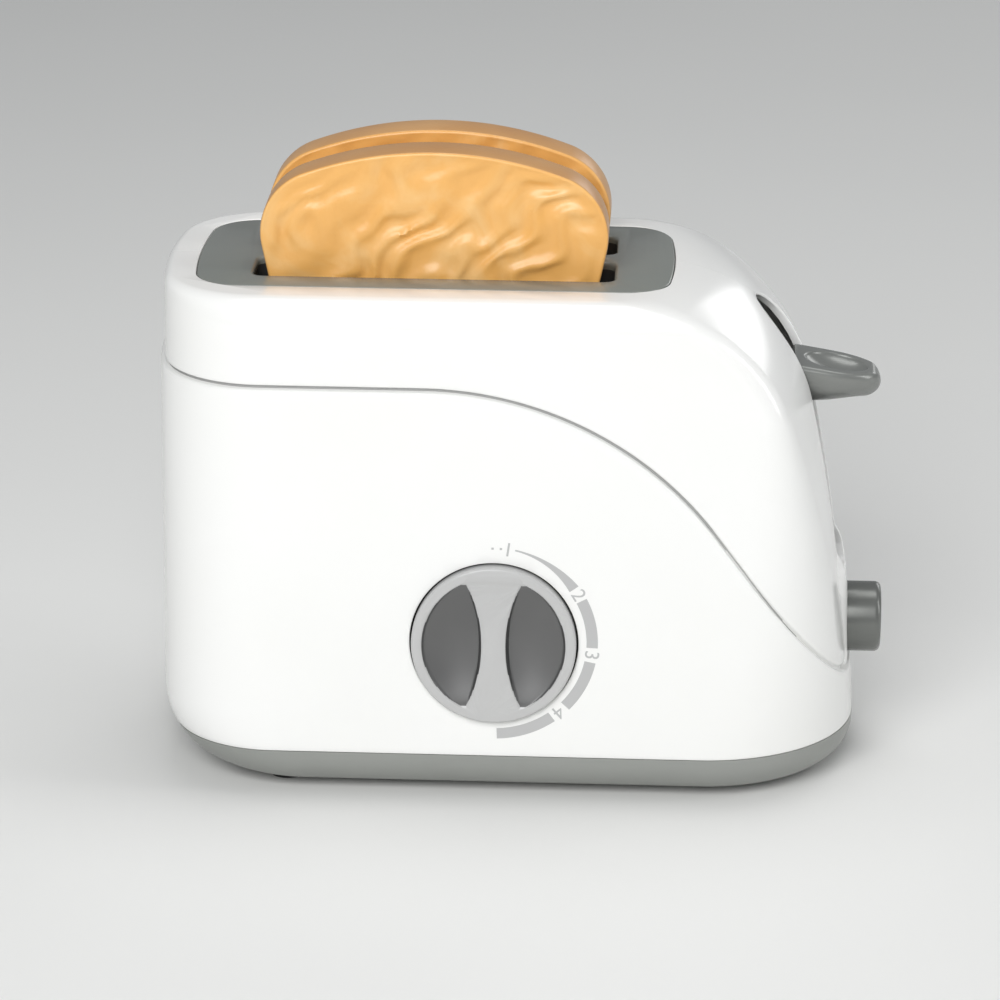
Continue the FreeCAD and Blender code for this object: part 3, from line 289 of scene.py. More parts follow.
def endCurve(z, grow):
    b = body
    turn = radians(b["shoulderEnd"])
    shoulderZ = b["top"] - b["shoulder"]
    if z > shoulderZ + (b["shoulder"] + grow) * sin(turn):
        return b["shoulderX"] + sqrt(max((b["shoulder"] + grow) ** 2 - (z - shoulderZ) ** 2, 0.0))
    centreX = b["shoulderX"] - (b["side"] - b["shoulder"]) * cos(turn)
    centreZ = shoulderZ - (b["side"] - b["shoulder"]) * sin(turn)
    return centreX + sqrt((b["side"] + grow) ** 2 - (z - centreZ) ** 2)


def outlineFacts(z, grow):
    b = body
    overTop = z - b["top"] - grow
    overLow = b["underside"] + b["apronStep"] - grow - z
    lowEdge = drawnIn(overLow + b["bottomEdge"], b["bottomEdge"])
    edge = drawnIn(overTop + b["topEdge"], b["topEdge"]) + lowEdge
    depth = b["halfDepth"] + grow - edge
    left = b["leftX"] + b["leftLean"] * (z - b["leanFrom"]) - grow
    left += drawnIn(overTop + b["topLeft"], b["topLeft"])
    left += drawnIn(overLow + b["bottomLeft"], b["bottomLeft"])
    right = endCurve(z, grow) - lowEdge
    leftCorner = b["leftCorner"] + grow - b["cornerFollow"] * edge
    leftBow = b["leftX"] + b["leftBow"] - left
    leftY = depth - leftCorner
    leftReach = sqrt((leftBow - leftCorner) ** 2 - leftY ** 2)
    share = min(max((z - b["seam"]) / (b["creaseEnd"] - b["seam"]), 0.0), 1.0)
    rightCorner = b["creaseLow"] + (b["creaseHigh"] - b["creaseLow"]) * share + grow - lowEdge
    bow = right - b["endAxis"]
    cornerY = depth - rightCorner
    cornerX = b["endAxis"] + sqrt((bow - rightCorner) ** 2 - cornerY ** 2)
    turn = atan2(cornerY, cornerX - b["endAxis"])
    return {"depth": depth, "leftBow": leftBow, "leftCorner": leftCorner, "leftY": leftY,
            "leftX": b["leftX"] + b["leftBow"] - leftReach, "leftTurn": atan2(leftY, leftReach),
            "rightCorner": rightCorner, "cornerX": cornerX, "cornerY": cornerY, "bow": bow, "turn": turn}


def columnPlan():
    # the front half of the outline, from the middle of the left end to the middle of the right end
    counts = {"leftEnd": 14, "leftCorner": 22, "front": 64, "rightCorner": 26, "bow": 20}
    columns = []
    for part, count in counts.items():
        columns += [(part, i / count) for i in range(count)]
    return columns + [("bow", 1.0)]


def skinPoint(z, column, grow):
    f = outlineFacts(z, grow)
    part, share = column
    if part == "leftEnd":
        angle, centreX = f["leftTurn"] * share, body["leftX"] + body["leftBow"]
        return centreX - f["leftBow"] * cos(angle), -f["leftBow"] * sin(angle)
    if part == "leftCorner":
        angle = f["leftTurn"] + (pi / 2 - f["leftTurn"]) * share
        return f["leftX"] - f["leftCorner"] * cos(angle), -f["leftY"] - f["leftCorner"] * sin(angle)
    if part == "front":
        return f["leftX"] + (f["cornerX"] - f["leftX"]) * share, -f["depth"]
    if part == "rightCorner":
        angle = -pi / 2 + (pi / 2 - f["turn"]) * share
        reach = f["rightCorner"]
        return f["cornerX"] + reach * cos(angle), -f["cornerY"] + reach * sin(angle)
    angle = -f["turn"] * (1 - share)
    return body["endAxis"] + f["bow"] * cos(angle), f["bow"] * sin(angle)


def sideReach(x, z):
    # how far the skin stands out sideways from the middle at this place
    f = outlineFacts(z, 0.0)
    if x < f["leftX"]:
        return f["leftY"] + sqrt(max(f["leftCorner"] ** 2 - (f["leftX"] - x) ** 2, 0.0))
    if x > f["cornerX"]:
        return f["cornerY"] + sqrt(max(f["rightCorner"] ** 2 - (x - f["cornerX"]) ** 2, 0.0))
    return f["depth"]


def overLine(x, z):
    # how far a point stands above the swept line, square to it
    b = body
    turn = radians(b["lineTurn"])
    centreZ = b["lineZ"] - b["lineRadius"]
    if x <= b["lineFrom"]:
        return z - b["lineZ"]
    angle = atan2(x - b["lineFrom"], z - centreZ)
    if angle <= turn:
        return hypot(x - b["lineFrom"], z - centreZ) - b["lineRadius"]
    endX = b["lineFrom"] + b["lineRadius"] * sin(turn)
    endZ = centreZ + b["lineRadius"] * cos(turn)
    return (x - endX) * sin(turn) + (z - endZ) * cos(turn)


# the apron's edge: distance above the line, and how proud the skin stands there; a narrow groove runs over it
apronEdge = [(3.4, 0.0), (2.4, -0.01), (1.8, -0.05), (1.4, -0.16), (1.18, -0.4), (1.06, -0.7), (0.92, -0.96),
             (0.72, -1.08), (0.5, -1.02), (0.36, -0.75), (0.27, -0.2), (0.2, 0.35), (0.08, 0.72),
             (-0.12, 0.97), (-0.4, 1.1), (-0.8, 1.17), (-1.3, 1.2), (-2.2, 1.2), (-3.4, 1.2)]
# below this depth the groove is painted grey as painted shade, thinning out towards the right corner
grooveShade = {"depth": -0.65, "fadeFrom": 52.0, "fadeLength": 34.0, "fadeDepth": 0.45}


def heightOnColumn(column, above):
    # the height at which a column of the skin stands this far above the swept line
    low, high = body["seam"], body["top"]
    for _ in range(36):
        z = (low + high) / 2
        if overLine(skinPoint(z, column, 0.0)[0], z) < above:
            low = z
        else:
            high = z
    return (low + high) / 2


def outerRows(column):
    # (height, how proud) up one column of the skin: turned-in rim, skirt, apron's edge and crown
    b = body
    rim = [(0.0, -0.35), (0.12, -0.12), (0.4, 0.0)]
    foot = b["seam"] + rim[-1][0]
    lowZ = heightOnColumn(column, apronEdge[-1][0])
    highZ = heightOnColumn(column, apronEdge[0][0])
    rows = [(b["seam"] + rise, b["apronStep"] + inset) for rise, inset in rim]
    rows += [(foot + (lowZ - foot) * (i / b["skirtRows"]) ** b["skirtEase"], b["apronStep"])
             for i in range(1, b["skirtRows"] + 1)]
    rows += [(heightOnColumn(column, above), proud) for above, proud in reversed(apronEdge[1:-1])]
    rows += [(highZ + (b["top"] - highZ) * sin(pi / 2 * i / b["crownRows"]), 0.0)
             for i in range(b["crownRows"] + 1)]
    return rows


def innerRows():
    b = body
    rise = b["top"] - b["wall"] - b["seam"]
    return [(b["seam"] + rise * sin(pi / 2 * i / b["innerRows"]), -b["wall"])
            for i in range(b["innerRows"] + 1)]


def halfBody():
    # the front half of the shell as one closed form, and how proud each face of its skin is
    columns = columnPlan()
    skins = {"outer": [outerRows(column) for column in columns], "inner": [innerRows()] * len(columns)}
    points, faces, index = [], [], {}
    for name, rows in skins.items():
        for c, column in enumerate(columns):
            for r, (z, proud) in enumerate(rows[c]):
                x, y = skinPoint(z, column, proud)
                index[name, c, r] = len(points)
                points.append((x, min(y, -body["halfGap"]), z))
    last = len(columns) - 1
    counts = {name: len(rows[0]) for name, rows in skins.items()}
    for name, count in counts.items():
        for c in range(last):
            for r in range(count - 1):
                corners = ((c, r), (c + 1, r), (c + 1, r + 1), (c, r + 1))
                faces.append(tuple(index[(name, *corner)] for corner in corners))
        faces.append(tuple(index[name, c, count - 1] for c in range(last + 1)))
    for c in range(last):
        corners = (("outer", c), ("outer", c + 1), ("inner", c + 1), ("inner", c))
        faces.append(tuple(index[(*corner, 0)] for corner in corners))
    seamFace = []
    for name, c, upwards in (("outer", 0, True), ("outer", last, False),
                             ("inner", last, True), ("inner", 0, False)):
        rows = range(counts[name]) if upwards else reversed(range(counts[name]))
        seamFace += [index[name, c, r] for r in rows]
    faces.append(tuple(seamFace))
    proud = [row[1] for row in skins["outer"][0]]
    return points, faces, [max(pair) for pair in zip(proud, proud[1:])] * last


def skinTop(x):
    # height of the top of the body along its middle
    b = body
    leftTop = b["leftX"] + b["leftLean"] * (b["top"] - b["leanFrom"])
    if x < leftTop + b["topLeft"]:
        return b["top"] - drawnIn(leftTop + b["topLeft"] - x, b["topLeft"])
    if x > b["shoulderX"]:
        return b["top"] - drawnIn(x - b["shoulderX"], b["shoulder"])
    return b["top"]


plate = {"x": -22.0, "halfLength": 66.0, "halfDepth": 33.4, "corner": 13.0, "bow": 230.0, "gap": 0.18,
         "thickness": 2.4, "slotHalfLength": 49.6, "slotWidth": 18.6, "slotY": 13.6, "slotCorner": 3.0,
         "wellDepth": 24.0, "wellWall": 1.5, "wellTop": 0.8, "paintedShadeTop": 1.6, "slabHalf": 36,
         "edge": ((0, -8), (0, -0.4), (-0.1, -0.14), (-0.28, -0.02), (-0.42, 0.03), (-0.45, 4)),
         "slotEdge": ((0, -2.0), (0, -1.0), (0.13, -0.5), (0.5, -0.13), (1.0, 0.02), (1.1, 4))}


def plateLoop(grow):
    # points round the plate: bowed ends, rounded corners
    p = plate
    half, corner = p["halfDepth"] + grow, p["corner"] + grow
    loop = []
    for side in (1, -1):
        bowX = p["x"] + side * (p["halfLength"] + grow - p["bow"])
        cornerY = half - corner
        cornerX = side * sqrt((p["bow"] - corner) ** 2 - cornerY ** 2) + bowX
        lean = atan2(cornerY, abs(cornerX - bowX))
        turn = []
        for i in range(11):
            angle = -pi / 2 + (pi / 2 - lean) * i / 10
            turn.append((cornerX + corner * cos(angle) * side,
                         (-cornerY + corner * sin(angle)) * side))
        for i in range(1, 8):
            angle = -lean + 2 * lean * i / 8
            turn.append((bowX + side * p["bow"] * cos(angle), side * p["bow"] * sin(angle)))
        for i in range(11):
            angle = lean + (pi / 2 - lean) * i / 10
            turn.append((cornerX + corner * cos(angle) * side,
                         (cornerY + corner * sin(angle)) * side))
        loop += turn
        here, there = turn[-1], (2 * p["x"] - turn[-1][0], turn[-1][1])
        loop += [(here[0] + (there[0] - here[0]) * i / 12, here[1]) for i in range(1, 12)]
    return loop


def slotLoop(grow, side):
    p = plate
    return roundedBox((p["x"], side * p["slotY"]), (p["slotHalfLength"] + grow, p["slotWidth"] / 2 + grow),
                      p["slotCorner"] + grow, 8)


def topTool(loopAt, profile):
    # an upright cutter whose rim follows the top skin: profile is (grow, height over the skin)
    return ringTool([[(x, y, skinTop(x) + rise) for x, y in loopAt(grow)] for grow, rise in profile])


# the right end: the lever's slot, the button and the swelling that carries them both

leverSlot = {"halfWidth": 12.2, "lowZ": 51.0, "highZ": 132.5, "lowCorner": 6.0, "highCorner": 11.5,
             "rim": 0.6, "cutTo": 50.0}
button = {"z": 38.0, "radius": 10.0, "gap": 0.35, "endX": 104.4, "chamfer": 1.8, "innerX": 88.0,
          "flange": 11.6, "flangeX": 90.0, "wall": 2.0, "stem": 3.0, "stemX": 75.0, "rim": 0.5, "cutTo": 84.0,
          "crown": ((0.0, 7.4), (0.12, 6.6), (0.3, 5.4), (0.42, 3.0), (0.45, 0.02))}  # (below, radius)
pad = {"x": 94.35, "atZ": 56.0, "lean": 0.029, "lowZ": 18.0, "highZ": 66.0, "halfWidth": 19.0, "corner": 12.0,
       "round": 10.0, "halfGap": 0.08, "sunk": 1.0, "back": 1.6, "inwards": (0.75, 0.5, 0.25, 0.04)}
clearX = 130.0  # beyond everything on the right


def padFace(z):
    return pad["x"] + (pad["atZ"] - z) * pad["lean"]


def padSkin(y, z):
    # the upright swelling that carries the button and the foot of the lever's slot
    p = pad
    middle, half = (p["lowZ"] + p["highZ"]) / 2, (p["highZ"] - p["lowZ"]) / 2
    overY, overZ = abs(y) - p["halfWidth"] + p["corner"], abs(z - middle) - half + p["corner"]
    inset = p["corner"] - hypot(max(overY, 0), max(overZ, 0)) - min(max(overY, overZ), 0)
    if inset < 0:
        return -1.0
    return padFace(z) - drawnIn(p["round"] - inset, p["round"])


def padRing(inset, share, front):
    # one ring round the swelling, on its rounded face or on the back that lies within the wall
    p = pad
    corner = p["corner"] - inset
    middle = (p["lowZ"] + p["highZ"]) / 2
    bodyY, bodyZ = p["halfWidth"] - p["corner"], (p["highZ"] - p["lowZ"]) / 2 - p["corner"]
    loop = []
    for i, (sy, sz) in enumerate(((1, -1), (1, 1), (-1, 1), (-1, -1))):
        for j in range(11):
            angle = radians(-90 + 90 * i + 9 * j)
            loop.append((sy * bodyY + corner * cos(angle), sz * bodyZ + corner * sin(angle)))
        stepY, stepZ = ((0, 1), (-1, 0), (0, -1), (1, 0))[i]
        lastY, lastZ = loop[-1]
        loop += [(lastY + stepY * 2 * bodyY * j / 8, lastZ + stepZ * 2 * bodyZ * j / 8) for j in range(1, 8)]
    face = drawnIn(p["round"] - inset, p["round"])
    ring = []
    for y, z in loop:
        y, z = y * share, middle + z * share
        x = max(padFace(z) - face, endSkin(y, z) - p["sunk"]) if front else endSkin(y, z) - p["back"]
        ring.append((x, y, z))
    return ring


def padTool(side):
    # half of the swelling: the whole form, trimmed at the seam between the shells
    steps = [(pad["round"] * (1 - cos(pi / 2 * i / 14)), 1.0) for i in range(15)]
    steps += [(pad["round"], share) for share in pad["inwards"]]
    rings = [padRing(inset, share, False) for inset, share in reversed(steps)]
    whole = ringTool(rings + [padRing(inset, share, True) for inset, share in steps])
    applyTool(whole, blockTool((60, 120), sorted((-side * 40, side * pad["halfGap"])), (0, 90)))
    return whole


def endSkin(y, z):
    grow = body["apronStep"] if overLine(endCurve(z, 0), z) < 0 else 0.0
    bow = endCurve(z, grow) - body["endAxis"]
    return body["endAxis"] + sqrt(bow ** 2 - y ** 2)


def endFace(y, z):
    return max(endSkin(y, z), padSkin(y, z))


def endTool(loop, rim, innerX):
    # a cutter through the right end whose rim is rounded where it leaves the skin
    rings = [[] for _ in range(7)]
    middleZ = sum(p[1] for p in loop) / len(loop)
    step = 0.2
    for i, (y, z) in enumerate(loop):
        before, after = loop[i - 1], loop[(i + 1) % len(loop)]
        tangent = Vector((0, after[0] - before[0], after[1] - before[1])).normalized()
        out = tangent.cross(Vector((1, 0, 0)))
        if out.y * y + out.z * (z - middleZ) < 0:
            out = -out
        slopeZ = (endFace(y, z + step) - endFace(y, z - step)) / (2 * step)
        slopeY = (endFace(y + step, z) - endFace(y - step, z)) / (2 * step)
        skin = Vector((endFace(y, z), y, z))
        normal = Vector((1, -slopeY, -slopeZ)).normalized()
        flat = (out - normal * out.dot(normal)).normalized()
        outside, bottom = skin + flat * (rim + 0.5) + normal * 4, skin - normal * rim
        section = [(clearX, outside.y, outside.z), outside, skin + flat * (rim * 1.1) + normal * 0.06,
                   skin + flat * (rim * 0.5) - normal * (rim * 0.14),
                   skin + flat * (rim * 0.14) - normal * (rim * 0.5), bottom, (innerX, bottom.y, bottom.z)]
        for ring, place in zip(rings, section):
            ring.append(Vector(place))
    return ringTool(rings)


def roundLoop(centreY, centreZ, radius, segments=72):
    turns = [2 * pi * i / segments for i in range(segments)]
    return [(centreY + radius * cos(t), centreZ + radius * sin(t)) for t in turns]


def leverSlotLoop():
    # rounded at the foot, nearly a half circle at the top, with close points up its long sides
    s = leverSlot
    low, high = s["lowZ"] + s["lowCorner"], s["highZ"] - s["highCorner"]
    loop = []
    for i, (side, centreZ, corner) in enumerate(((1, low, s["lowCorner"]), (1, high, s["highCorner"]),
                                                 (-1, high, s["highCorner"]), (-1, low, s["lowCorner"]))):
        for j in range(13):
            angle = radians(-90 + 90 * i + 90 * j / 12)
            loop.append((side * (s["halfWidth"] - corner) + corner * cos(angle),
                         centreZ + corner * sin(angle)))
        if i == 0:
            loop += [(s["halfWidth"], low + (high - low) * k / 30) for k in range(1, 30)]
        if i == 2:
            loop += [(-s["halfWidth"], high - (high - low) * k / 30) for k in range(1, 30)]
    return loop


posts = {"spots": ((-84.0, 30.0), (-82.0, 112.0), (40.0, 124.0), (80.0, 21.5)), "radius": 4.4, "pocket": 3.1,
         "hole": 1.6, "seatY": 14.0, "seamGap": 0.3, "sunk": 1.0}
dial = {"x": -3.4, "z": 46.5, "radius": 22.7, "gap": 0.5, "seat": 1.6, "shadeFelt": 0.4, "bore": 2.9,
        "face": 2.7, "back": 0.25, "rim": 2.6, "edge": 0.8, "halfWaist": 3.0, "barCurve": 41.5,
        "bowlDepth": 3.3, "bowlX": 9.0, "bowlWide": 12.4, "bowlTall": 17.0, "bowlPower": 1.25,
        "leastDepth": 0.1, "bluntTip": 0.3, "over": 0.12, "lip": 0.4, "lipDepth": 0.26, "wallWide": 0.75,
        "wallPower": 2.2}


# the deep faces of the apron's groove are painted grey: painted shade
def shadeGroove(shell, prouds):
    shell.data.materials.append(grooveShadeLook)
    for face, proud in zip(shell.data.polygons, prouds):
        fade = min(max((face.center.x / mm - grooveShade["fadeFrom"]) / grooveShade["fadeLength"], 0), 1)
        if proud < grooveShade["depth"] - grooveShade["fadeDepth"] * fade:
            face.material_index = 1


def cutDialSeat(shell):
    # a round seat lined below its rounded lip with black felt, painted shade in the gap round the knob, and a
    # bore for the arbor
    centre, radius = (dial["x"], 0, dial["z"]), dial["radius"] + dial["gap"]
    profile = [(frontY + dial["seat"], radius), (frontY + 0.5, radius), (frontY + 0.14, radius + 0.14),
               (frontY - 0.02, radius + 0.5), (frontY - 3, radius + 0.6)]
    seat = ringTool(turned(profile, centre, (0, 1, 0), 160))
    seat.data.materials.append(whiteShellLook)
    seat.data.materials.append(shadeFeltLook)
    for face in seat.data.polygons:
        face.material_index = 1 if face.center.y > (frontY + dial["shadeFelt"]) * mm else 0
    applyTool(shell, seat)
    applyTool(shell, ringTool(turned([(-60, dial["bore"]), (-40, dial["bore"])], centre, (0, 1, 0), 48)))


def addScrewPost(shell, x, z):
    # a post from the seam to the skin, bored for a screw whose head goes in from behind
    p = posts
    post = turned([(p["seamGap"], p["radius"]), (40.0, p["radius"])], (x, 0, z), (0, 1, 0), 40)
    post[1] = [Vector((at.x, sideReach(at.x, at.z) - p["sunk"], at.z)) for at in post[1]]
    applyTool(shell, ringTool(post), "UNION")
    bore = [(-2, p["hole"]), (p["seatY"], p["hole"]), (p["seatY"], p["pocket"]), (70, p["pocket"])]
    applyTool(shell, ringTool(turned(bore, (x, 0, z), (0, 1, 0), 40)))


def makeShell(name, side):
    points, faces, prouds = halfBody()
    if side > 0:
        points = [(x, -y, z) for x, y, z in points]
    shell = makePiece(name, points, faces, whiteShellLook, "housing")
    shadeGroove(shell, prouds)
    applyTool(shell, padTool(side), "UNION")
    gap = plate["gap"]
    applyTool(shell, topTool(plateLoop, [(gap, -12), (gap, -0.45), (gap + 0.1, -0.16), (gap + 0.3, -0.02),
                                         (gap + 0.45, 0.03), (gap + 0.5, 5)]))
    applyTool(shell, endTool(leverSlotLoop(), leverSlot["rim"], leverSlot["cutTo"]))
    buttonHole = roundLoop(0, button["z"], button["radius"] + button["gap"])
    applyTool(shell, endTool(buttonHole, button["rim"], button["cutTo"]))
    if side < 0:
        cutDialSeat(shell)
    else:
        for x, z in posts["spots"]:
            addScrewPost(shell, x, z)
    smoothShade(shell)
    return shell


frontShell = makeShell("frontShell", -1)
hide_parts("front_shell")
rearShell = makeShell("rearShell", 1)
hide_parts("rear_shell")
print("shells moulded:", len(frontShell.data.polygons), len(rearShell.data.polygons), "faces")


def makeTopPlate():
    # a slab that follows the skin, trimmed to its outline, with two slots and their wells, painted near-black
    # below the rim as painted shade
    p = plate
    stations = [-92 + 0.5 * i for i in range(32)] + [-76, -40, 0, 36] + [38.5 + 0.75 * i for i in range(13)]
    half, rings = p["slabHalf"], []
    for x in stations:
        top, bottom = skinTop(x), skinTop(x) - p["thickness"]
        rings.append([(x, -half, top), (x, half, top), (x, half, bottom), (x, -half, bottom)])
    points, faces = ringSkin(rings)
    slab = makePiece("topPlate", points, faces, plateLook, "housing")
    applyTool(slab, topTool(plateLoop, p["edge"]), "INTERSECT")
    wellFoot = body["top"] - p["wellDepth"]
    for side in (-1, 1):
        heights = (wellFoot, body["top"] - p["wellTop"])
        applyTool(slab, uprightTool(slotLoop(p["wellWall"], side), heights), "UNION")
    for side in (-1, 1):
        applyTool(slab, topTool(lambda grow: slotLoop(grow, side), p["slotEdge"]))
        # below this height the well walls take the near-black of painted shade
        heights = (wellFoot - 2, body["top"] - p["paintedShadeTop"])
        well = uprightTool(slotLoop(0, side), heights)
        well.data.materials.append(shadeWellLook)
        applyTool(slab, well)
    smoothShade(slab)
    return slab


topPlate = makeTopPlate()
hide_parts("top_plate")
print("top plate trimmed:", len(topPlate.data.polygons), "faces")


# toast slices

toast = {"x": -22.0, "y": 12.4, "thickness": 12.6, "topZ": 176.6, "height": 88.0, "crown": 103.0,
         "crownHalf": 36.0, "side": 18.2, "lean": 12.0, "foot": 8.0, "edge": 0.9, "faceRings": 46,
         "face": "#edb364", "faceHigh": "#f2c482", "faceLow": "#e8ae60", "crust": "#dcae74",
         "crustDeep": "#b98044"}
dunes = {"lean": 40, "pitch": 9.0, "bend": 6.0, "power": 1.4, "sunk": 0.8, "depth": 1.5, "roll": 0.5,
         "most": 0.35}


def toastLoop():
    # crown arc, side arc, leaning flank and rounded foot, each tangent to the next
    t = toast
    low, lean = t["topZ"] - t["height"], radians(t["lean"])
    crownTurn = asin(t["crownHalf"] / t["crown"])
    sideX = t["crownHalf"] - t["side"] * sin(crownTurn)
    sideZ = t["topZ"] - t["crown"] + (t["crown"] - t["side"]) * cos(crownTurn)
    flankX, flankZ = sideX + t["side"] * cos(lean), sideZ - t["side"] * sin(lean)
    footZ = low + t["foot"]
    footX = flankX - (flankZ - footZ) * tan(lean) - t["foot"] / cos(lean)
    turnTo = pi / 2 + lean
    half = []
    for i in range(20):
        turn = crownTurn * i / 20
        half.append((t["crown"] * sin(turn), t["topZ"] - t["crown"] * (1 - cos(turn))))
    for i in range(36):
        turn = crownTurn + (turnTo - crownTurn) * i / 36
        half.append((sideX + t["side"] * sin(turn), sideZ + t["side"] * cos(turn)))
    footSide = (footX + t["foot"] * cos(lean), footZ - t["foot"] * sin(lean))
    half += [(flankX + (footSide[0] - flankX) * i / 26, flankZ + (footSide[1] - flankZ) * i / 26)
             for i in range(26)]
    for i in range(13):
        turn = turnTo + (pi - turnTo) * i / 12
        half.append((footX + t["foot"] * sin(turn), footZ + t["foot"] * cos(turn)))
    half += [(footX * (1 - i / 14), low) for i in range(1, 15)]
    return half + [(-x, z) for x, z in reversed(half[1:-1])]


def toastRelief(x, z, seed):
    # how far the baked face swells: winding dunes that run up to the right, over a slow roll
    d = dunes
    lean = radians(d["lean"])
    across = x * cos(lean) - z * sin(lean)
    slow = noise.noise(Vector((x / 26, seed + 3, z / 22)))
    bend = noise.noise(Vector((x / 15, seed, z / 13))) + 0.4 * noise.noise(Vector((x / 7, seed + 5, z / 7)))
    dune = (0.5 + 0.5 * sin(2 * pi * across / d["pitch"] + d["bend"] * bend)) ** d["power"]
    depth = 0.55 + 0.7 * max(noise.noise(Vector((x / 12, seed + 9, z / 10))) + 0.3, 0.0)
    return min(d["depth"] * depth * (dune - d["sunk"]) + d["roll"] * slow, d["most"])


def makeToast(name, side, seed, body):
    t = toast
    loop = toastLoop()
    centreZ = t["topZ"] - t["height"] * 0.5
    halfThick = t["thickness"] / 2
    rim = [(1.0, 0.0), (0.62, 0.07), (0.3, 0.28), (0.08, 0.6), (0.0, 1.0)]  # inset, way back, in edge radii

    def ring(inset, towards, offset, relief):
        made = []
        for x, z in loop:
            reach = hypot(x, z - centreZ)
            scale = (1 - inset / reach) * (1 - towards)
            px, pz = x * scale, centreZ + (z - centreZ) * scale
            fade = min(max((reach * (1 - scale) - 0.8) / 4.0, 0.0), 1.0)
            swell = toastRelief(px, pz, seed) * fade * relief
            made.append((t["x"] + px, side * t["y"] + offset + (swell if offset > 0 else -swell), pz))
        return made

    rings = []
    for direction in (-1, 1):
        half = [ring(1.0, i / t["faceRings"], direction * halfThick, 1.0)
                for i in range(t["faceRings"] - 2, -1, -1)]
        half += [ring(inset * t["edge"], 0.0, direction * (halfThick - back * t["edge"]), 0.0)
                 for inset, back in rim]
        rings += half if direction < 0 else reversed(half)
    points, faces = ringSkin(rings)
    return makePiece(name, points, faces, toastLook, body, 60)


def toastVinyl():
    # rotocast PVC, brushed with darker baked tones: pale and brown patches drift at random over the faces,
    # and the rim is browner
    t = toast
    look = newMaterial("brushedToastVinyl", {"Roughness": 0.33, "IOR": 1.52})
    material, tree, shader, place = look
    broad = addNode(tree, "TexNoise", {"Scale": perMetre(22), "Detail": 4.0, "Distortion": 1.2},
                    {"Vector": place})
    ramp = addNode(tree, "ValToRGB", None, {"Fac": broad.outputs["Fac"]})
    stops = ramp.color_ramp.elements
    stops[0].position, stops[0].color = 0.3, toLinear(t["faceLow"])
    stops[1].position, stops[1].color = 0.72, toLinear(t["faceHigh"])
    stops.new(0.5).color = toLinear(t["face"])
    normal = addNode(tree, "NewGeometry").outputs["Normal"]
    facing = addNode(tree, "SeparateXYZ", None, {"Vector": normal})
    side = addNode(tree, "Math", {"operation": "ABSOLUTE"}, {0: facing.outputs["Y"]})
    rim = addNode(tree, "MapRange", {"From Min": 0.25, "From Max": 0.85, "To Min": 1.0, "To Max": 0.0,
                                     "interpolation_type": "SMOOTHSTEP"}, {"Value": side.outputs["Value"]})
    baked = addNode(tree, "TexNoise", {"Scale": perMetre(30), "Detail": 2.0}, {"Vector": place})
    crust = addNode(tree, "Mix", {"data_type": "RGBA", 6: toLinear(t["crust"]), 7: toLinear(t["crustDeep"])},
                    {"Factor": baked.outputs["Fac"]})
    mix = addNode(tree, "Mix", {"data_type": "RGBA"},
                  {"Factor": rim.outputs["Result"], 6: ramp.outputs["Color"], 7: crust.outputs[2]})
    tree.links.new(mix.outputs[2], shader.inputs["Base Color"])
    roughen(look, 1.4, 4.0, 0.5, 0.12)
    return material


toastLook = toastVinyl()
toastFront = makeToast("breadFront", -1, 2.3, "bread_front")
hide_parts("bread_front")
toastRear = makeToast("breadRear", 1, 7.9, "bread_rear")
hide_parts("bread_rear")
print("toast pressed:", len(toastFront.data.polygons), "faces each")


# lever, button and dial

lever = {"neckX": 66.0, "neckHalf": 7.0, "neckZ": 110.6, "neckThick": 5.6, "fromX": 76.0, "fullX": 78.5,
         "halfWidth": 11.0, "taperX": 86.0, "taper": 2.5, "tipX": 102.2, "tipZ": 108.5, "bluntTip": 0.015,
         "rimX": 79.0, "rimZ": 115.6, "rimFall": 0.165, "rimRound": 1.6,
         "bottomZ": 103.1, "bottomRise": 1.4, "riseX": 84, "riseLong": 13, "hull": 2.3, "topNose": 2.6,
         "bottomNose": 4.7, "dishX": 89.7, "dishLong": 8.7, "dishWide": 7.2, "dishDepth": 3.1,
         "dishLip": 0.34}


def easeIn(share):
    share = min(max(share, 0.0), 1.0)
    return share * share * (3 - 2 * share)


def leverRim(x):
    return lever["rimZ"] - (x - lever["rimX"]) * lever["rimFall"]


def leverRing(x):
    # one section: flat top between two rounded edges, and a boat-like hull below
    v = lever
    swell = easeIn((x - v["fromX"]) / (v["fullX"] - v["fromX"]))
    along = min(max((x - v["taperX"]) / (v["tipX"] - v["taperX"]), 0.0), 1.0)
    half = v["halfWidth"] * sqrt(max(1 - along ** v["taper"], 0.0))
    half = v["neckHalf"] + (half - v["neckHalf"]) * swell
    top = leverRim(x)
    bottom = v["bottomZ"] + v["bottomRise"] * easeIn((x - v["riseX"]) / v["riseLong"])
    over = min(max((x - v["tipX"] + v["topNose"]) / v["topNose"], 0.0), 1.0)
    top = v["tipZ"] + (top - v["tipZ"]) * sqrt(1 - over ** 2)
    over = min(max((x - v["tipX"] + v["bottomNose"]) / v["bottomNose"], 0.0), 1.0)
    bottom = v["tipZ"] - (v["tipZ"] - bottom) * sqrt(1 - over ** 2)
    top = v["neckZ"] + v["neckThick"] / 2 + (top - v["neckZ"] - v["neckThick"] / 2) * swell
    bottom = v["neckZ"] - v["neckThick"] / 2 + (bottom - v["neckZ"] + v["neckThick"] / 2) * swell
    rim = min(v["rimRound"], (top - bottom) * 0.45, half * 0.5)
    ring = [(x, (half - rim) * (1 - i / 9), top) for i in range(19)]
    for i in range(1, 8):
        turn = pi / 2 * i / 8
        ring.append((x, -(half - rim) - rim * sin(turn), top - rim + rim * cos(turn)))
    power = 2 / v["hull"]
    for i in range(33):
        turn = pi * i / 32
        y, z = cos(turn), sin(turn)
        ring.append((x, -half * copysign(abs(y) ** power, y),
                     top - rim - (top - rim - bottom) * abs(z) ** power))
    for i in range(7, 0, -1):
        turn = pi / 2 * i / 8
        ring.append((x, half - rim + rim * sin(turn), top - rim + rim * cos(turn)))
    return ring


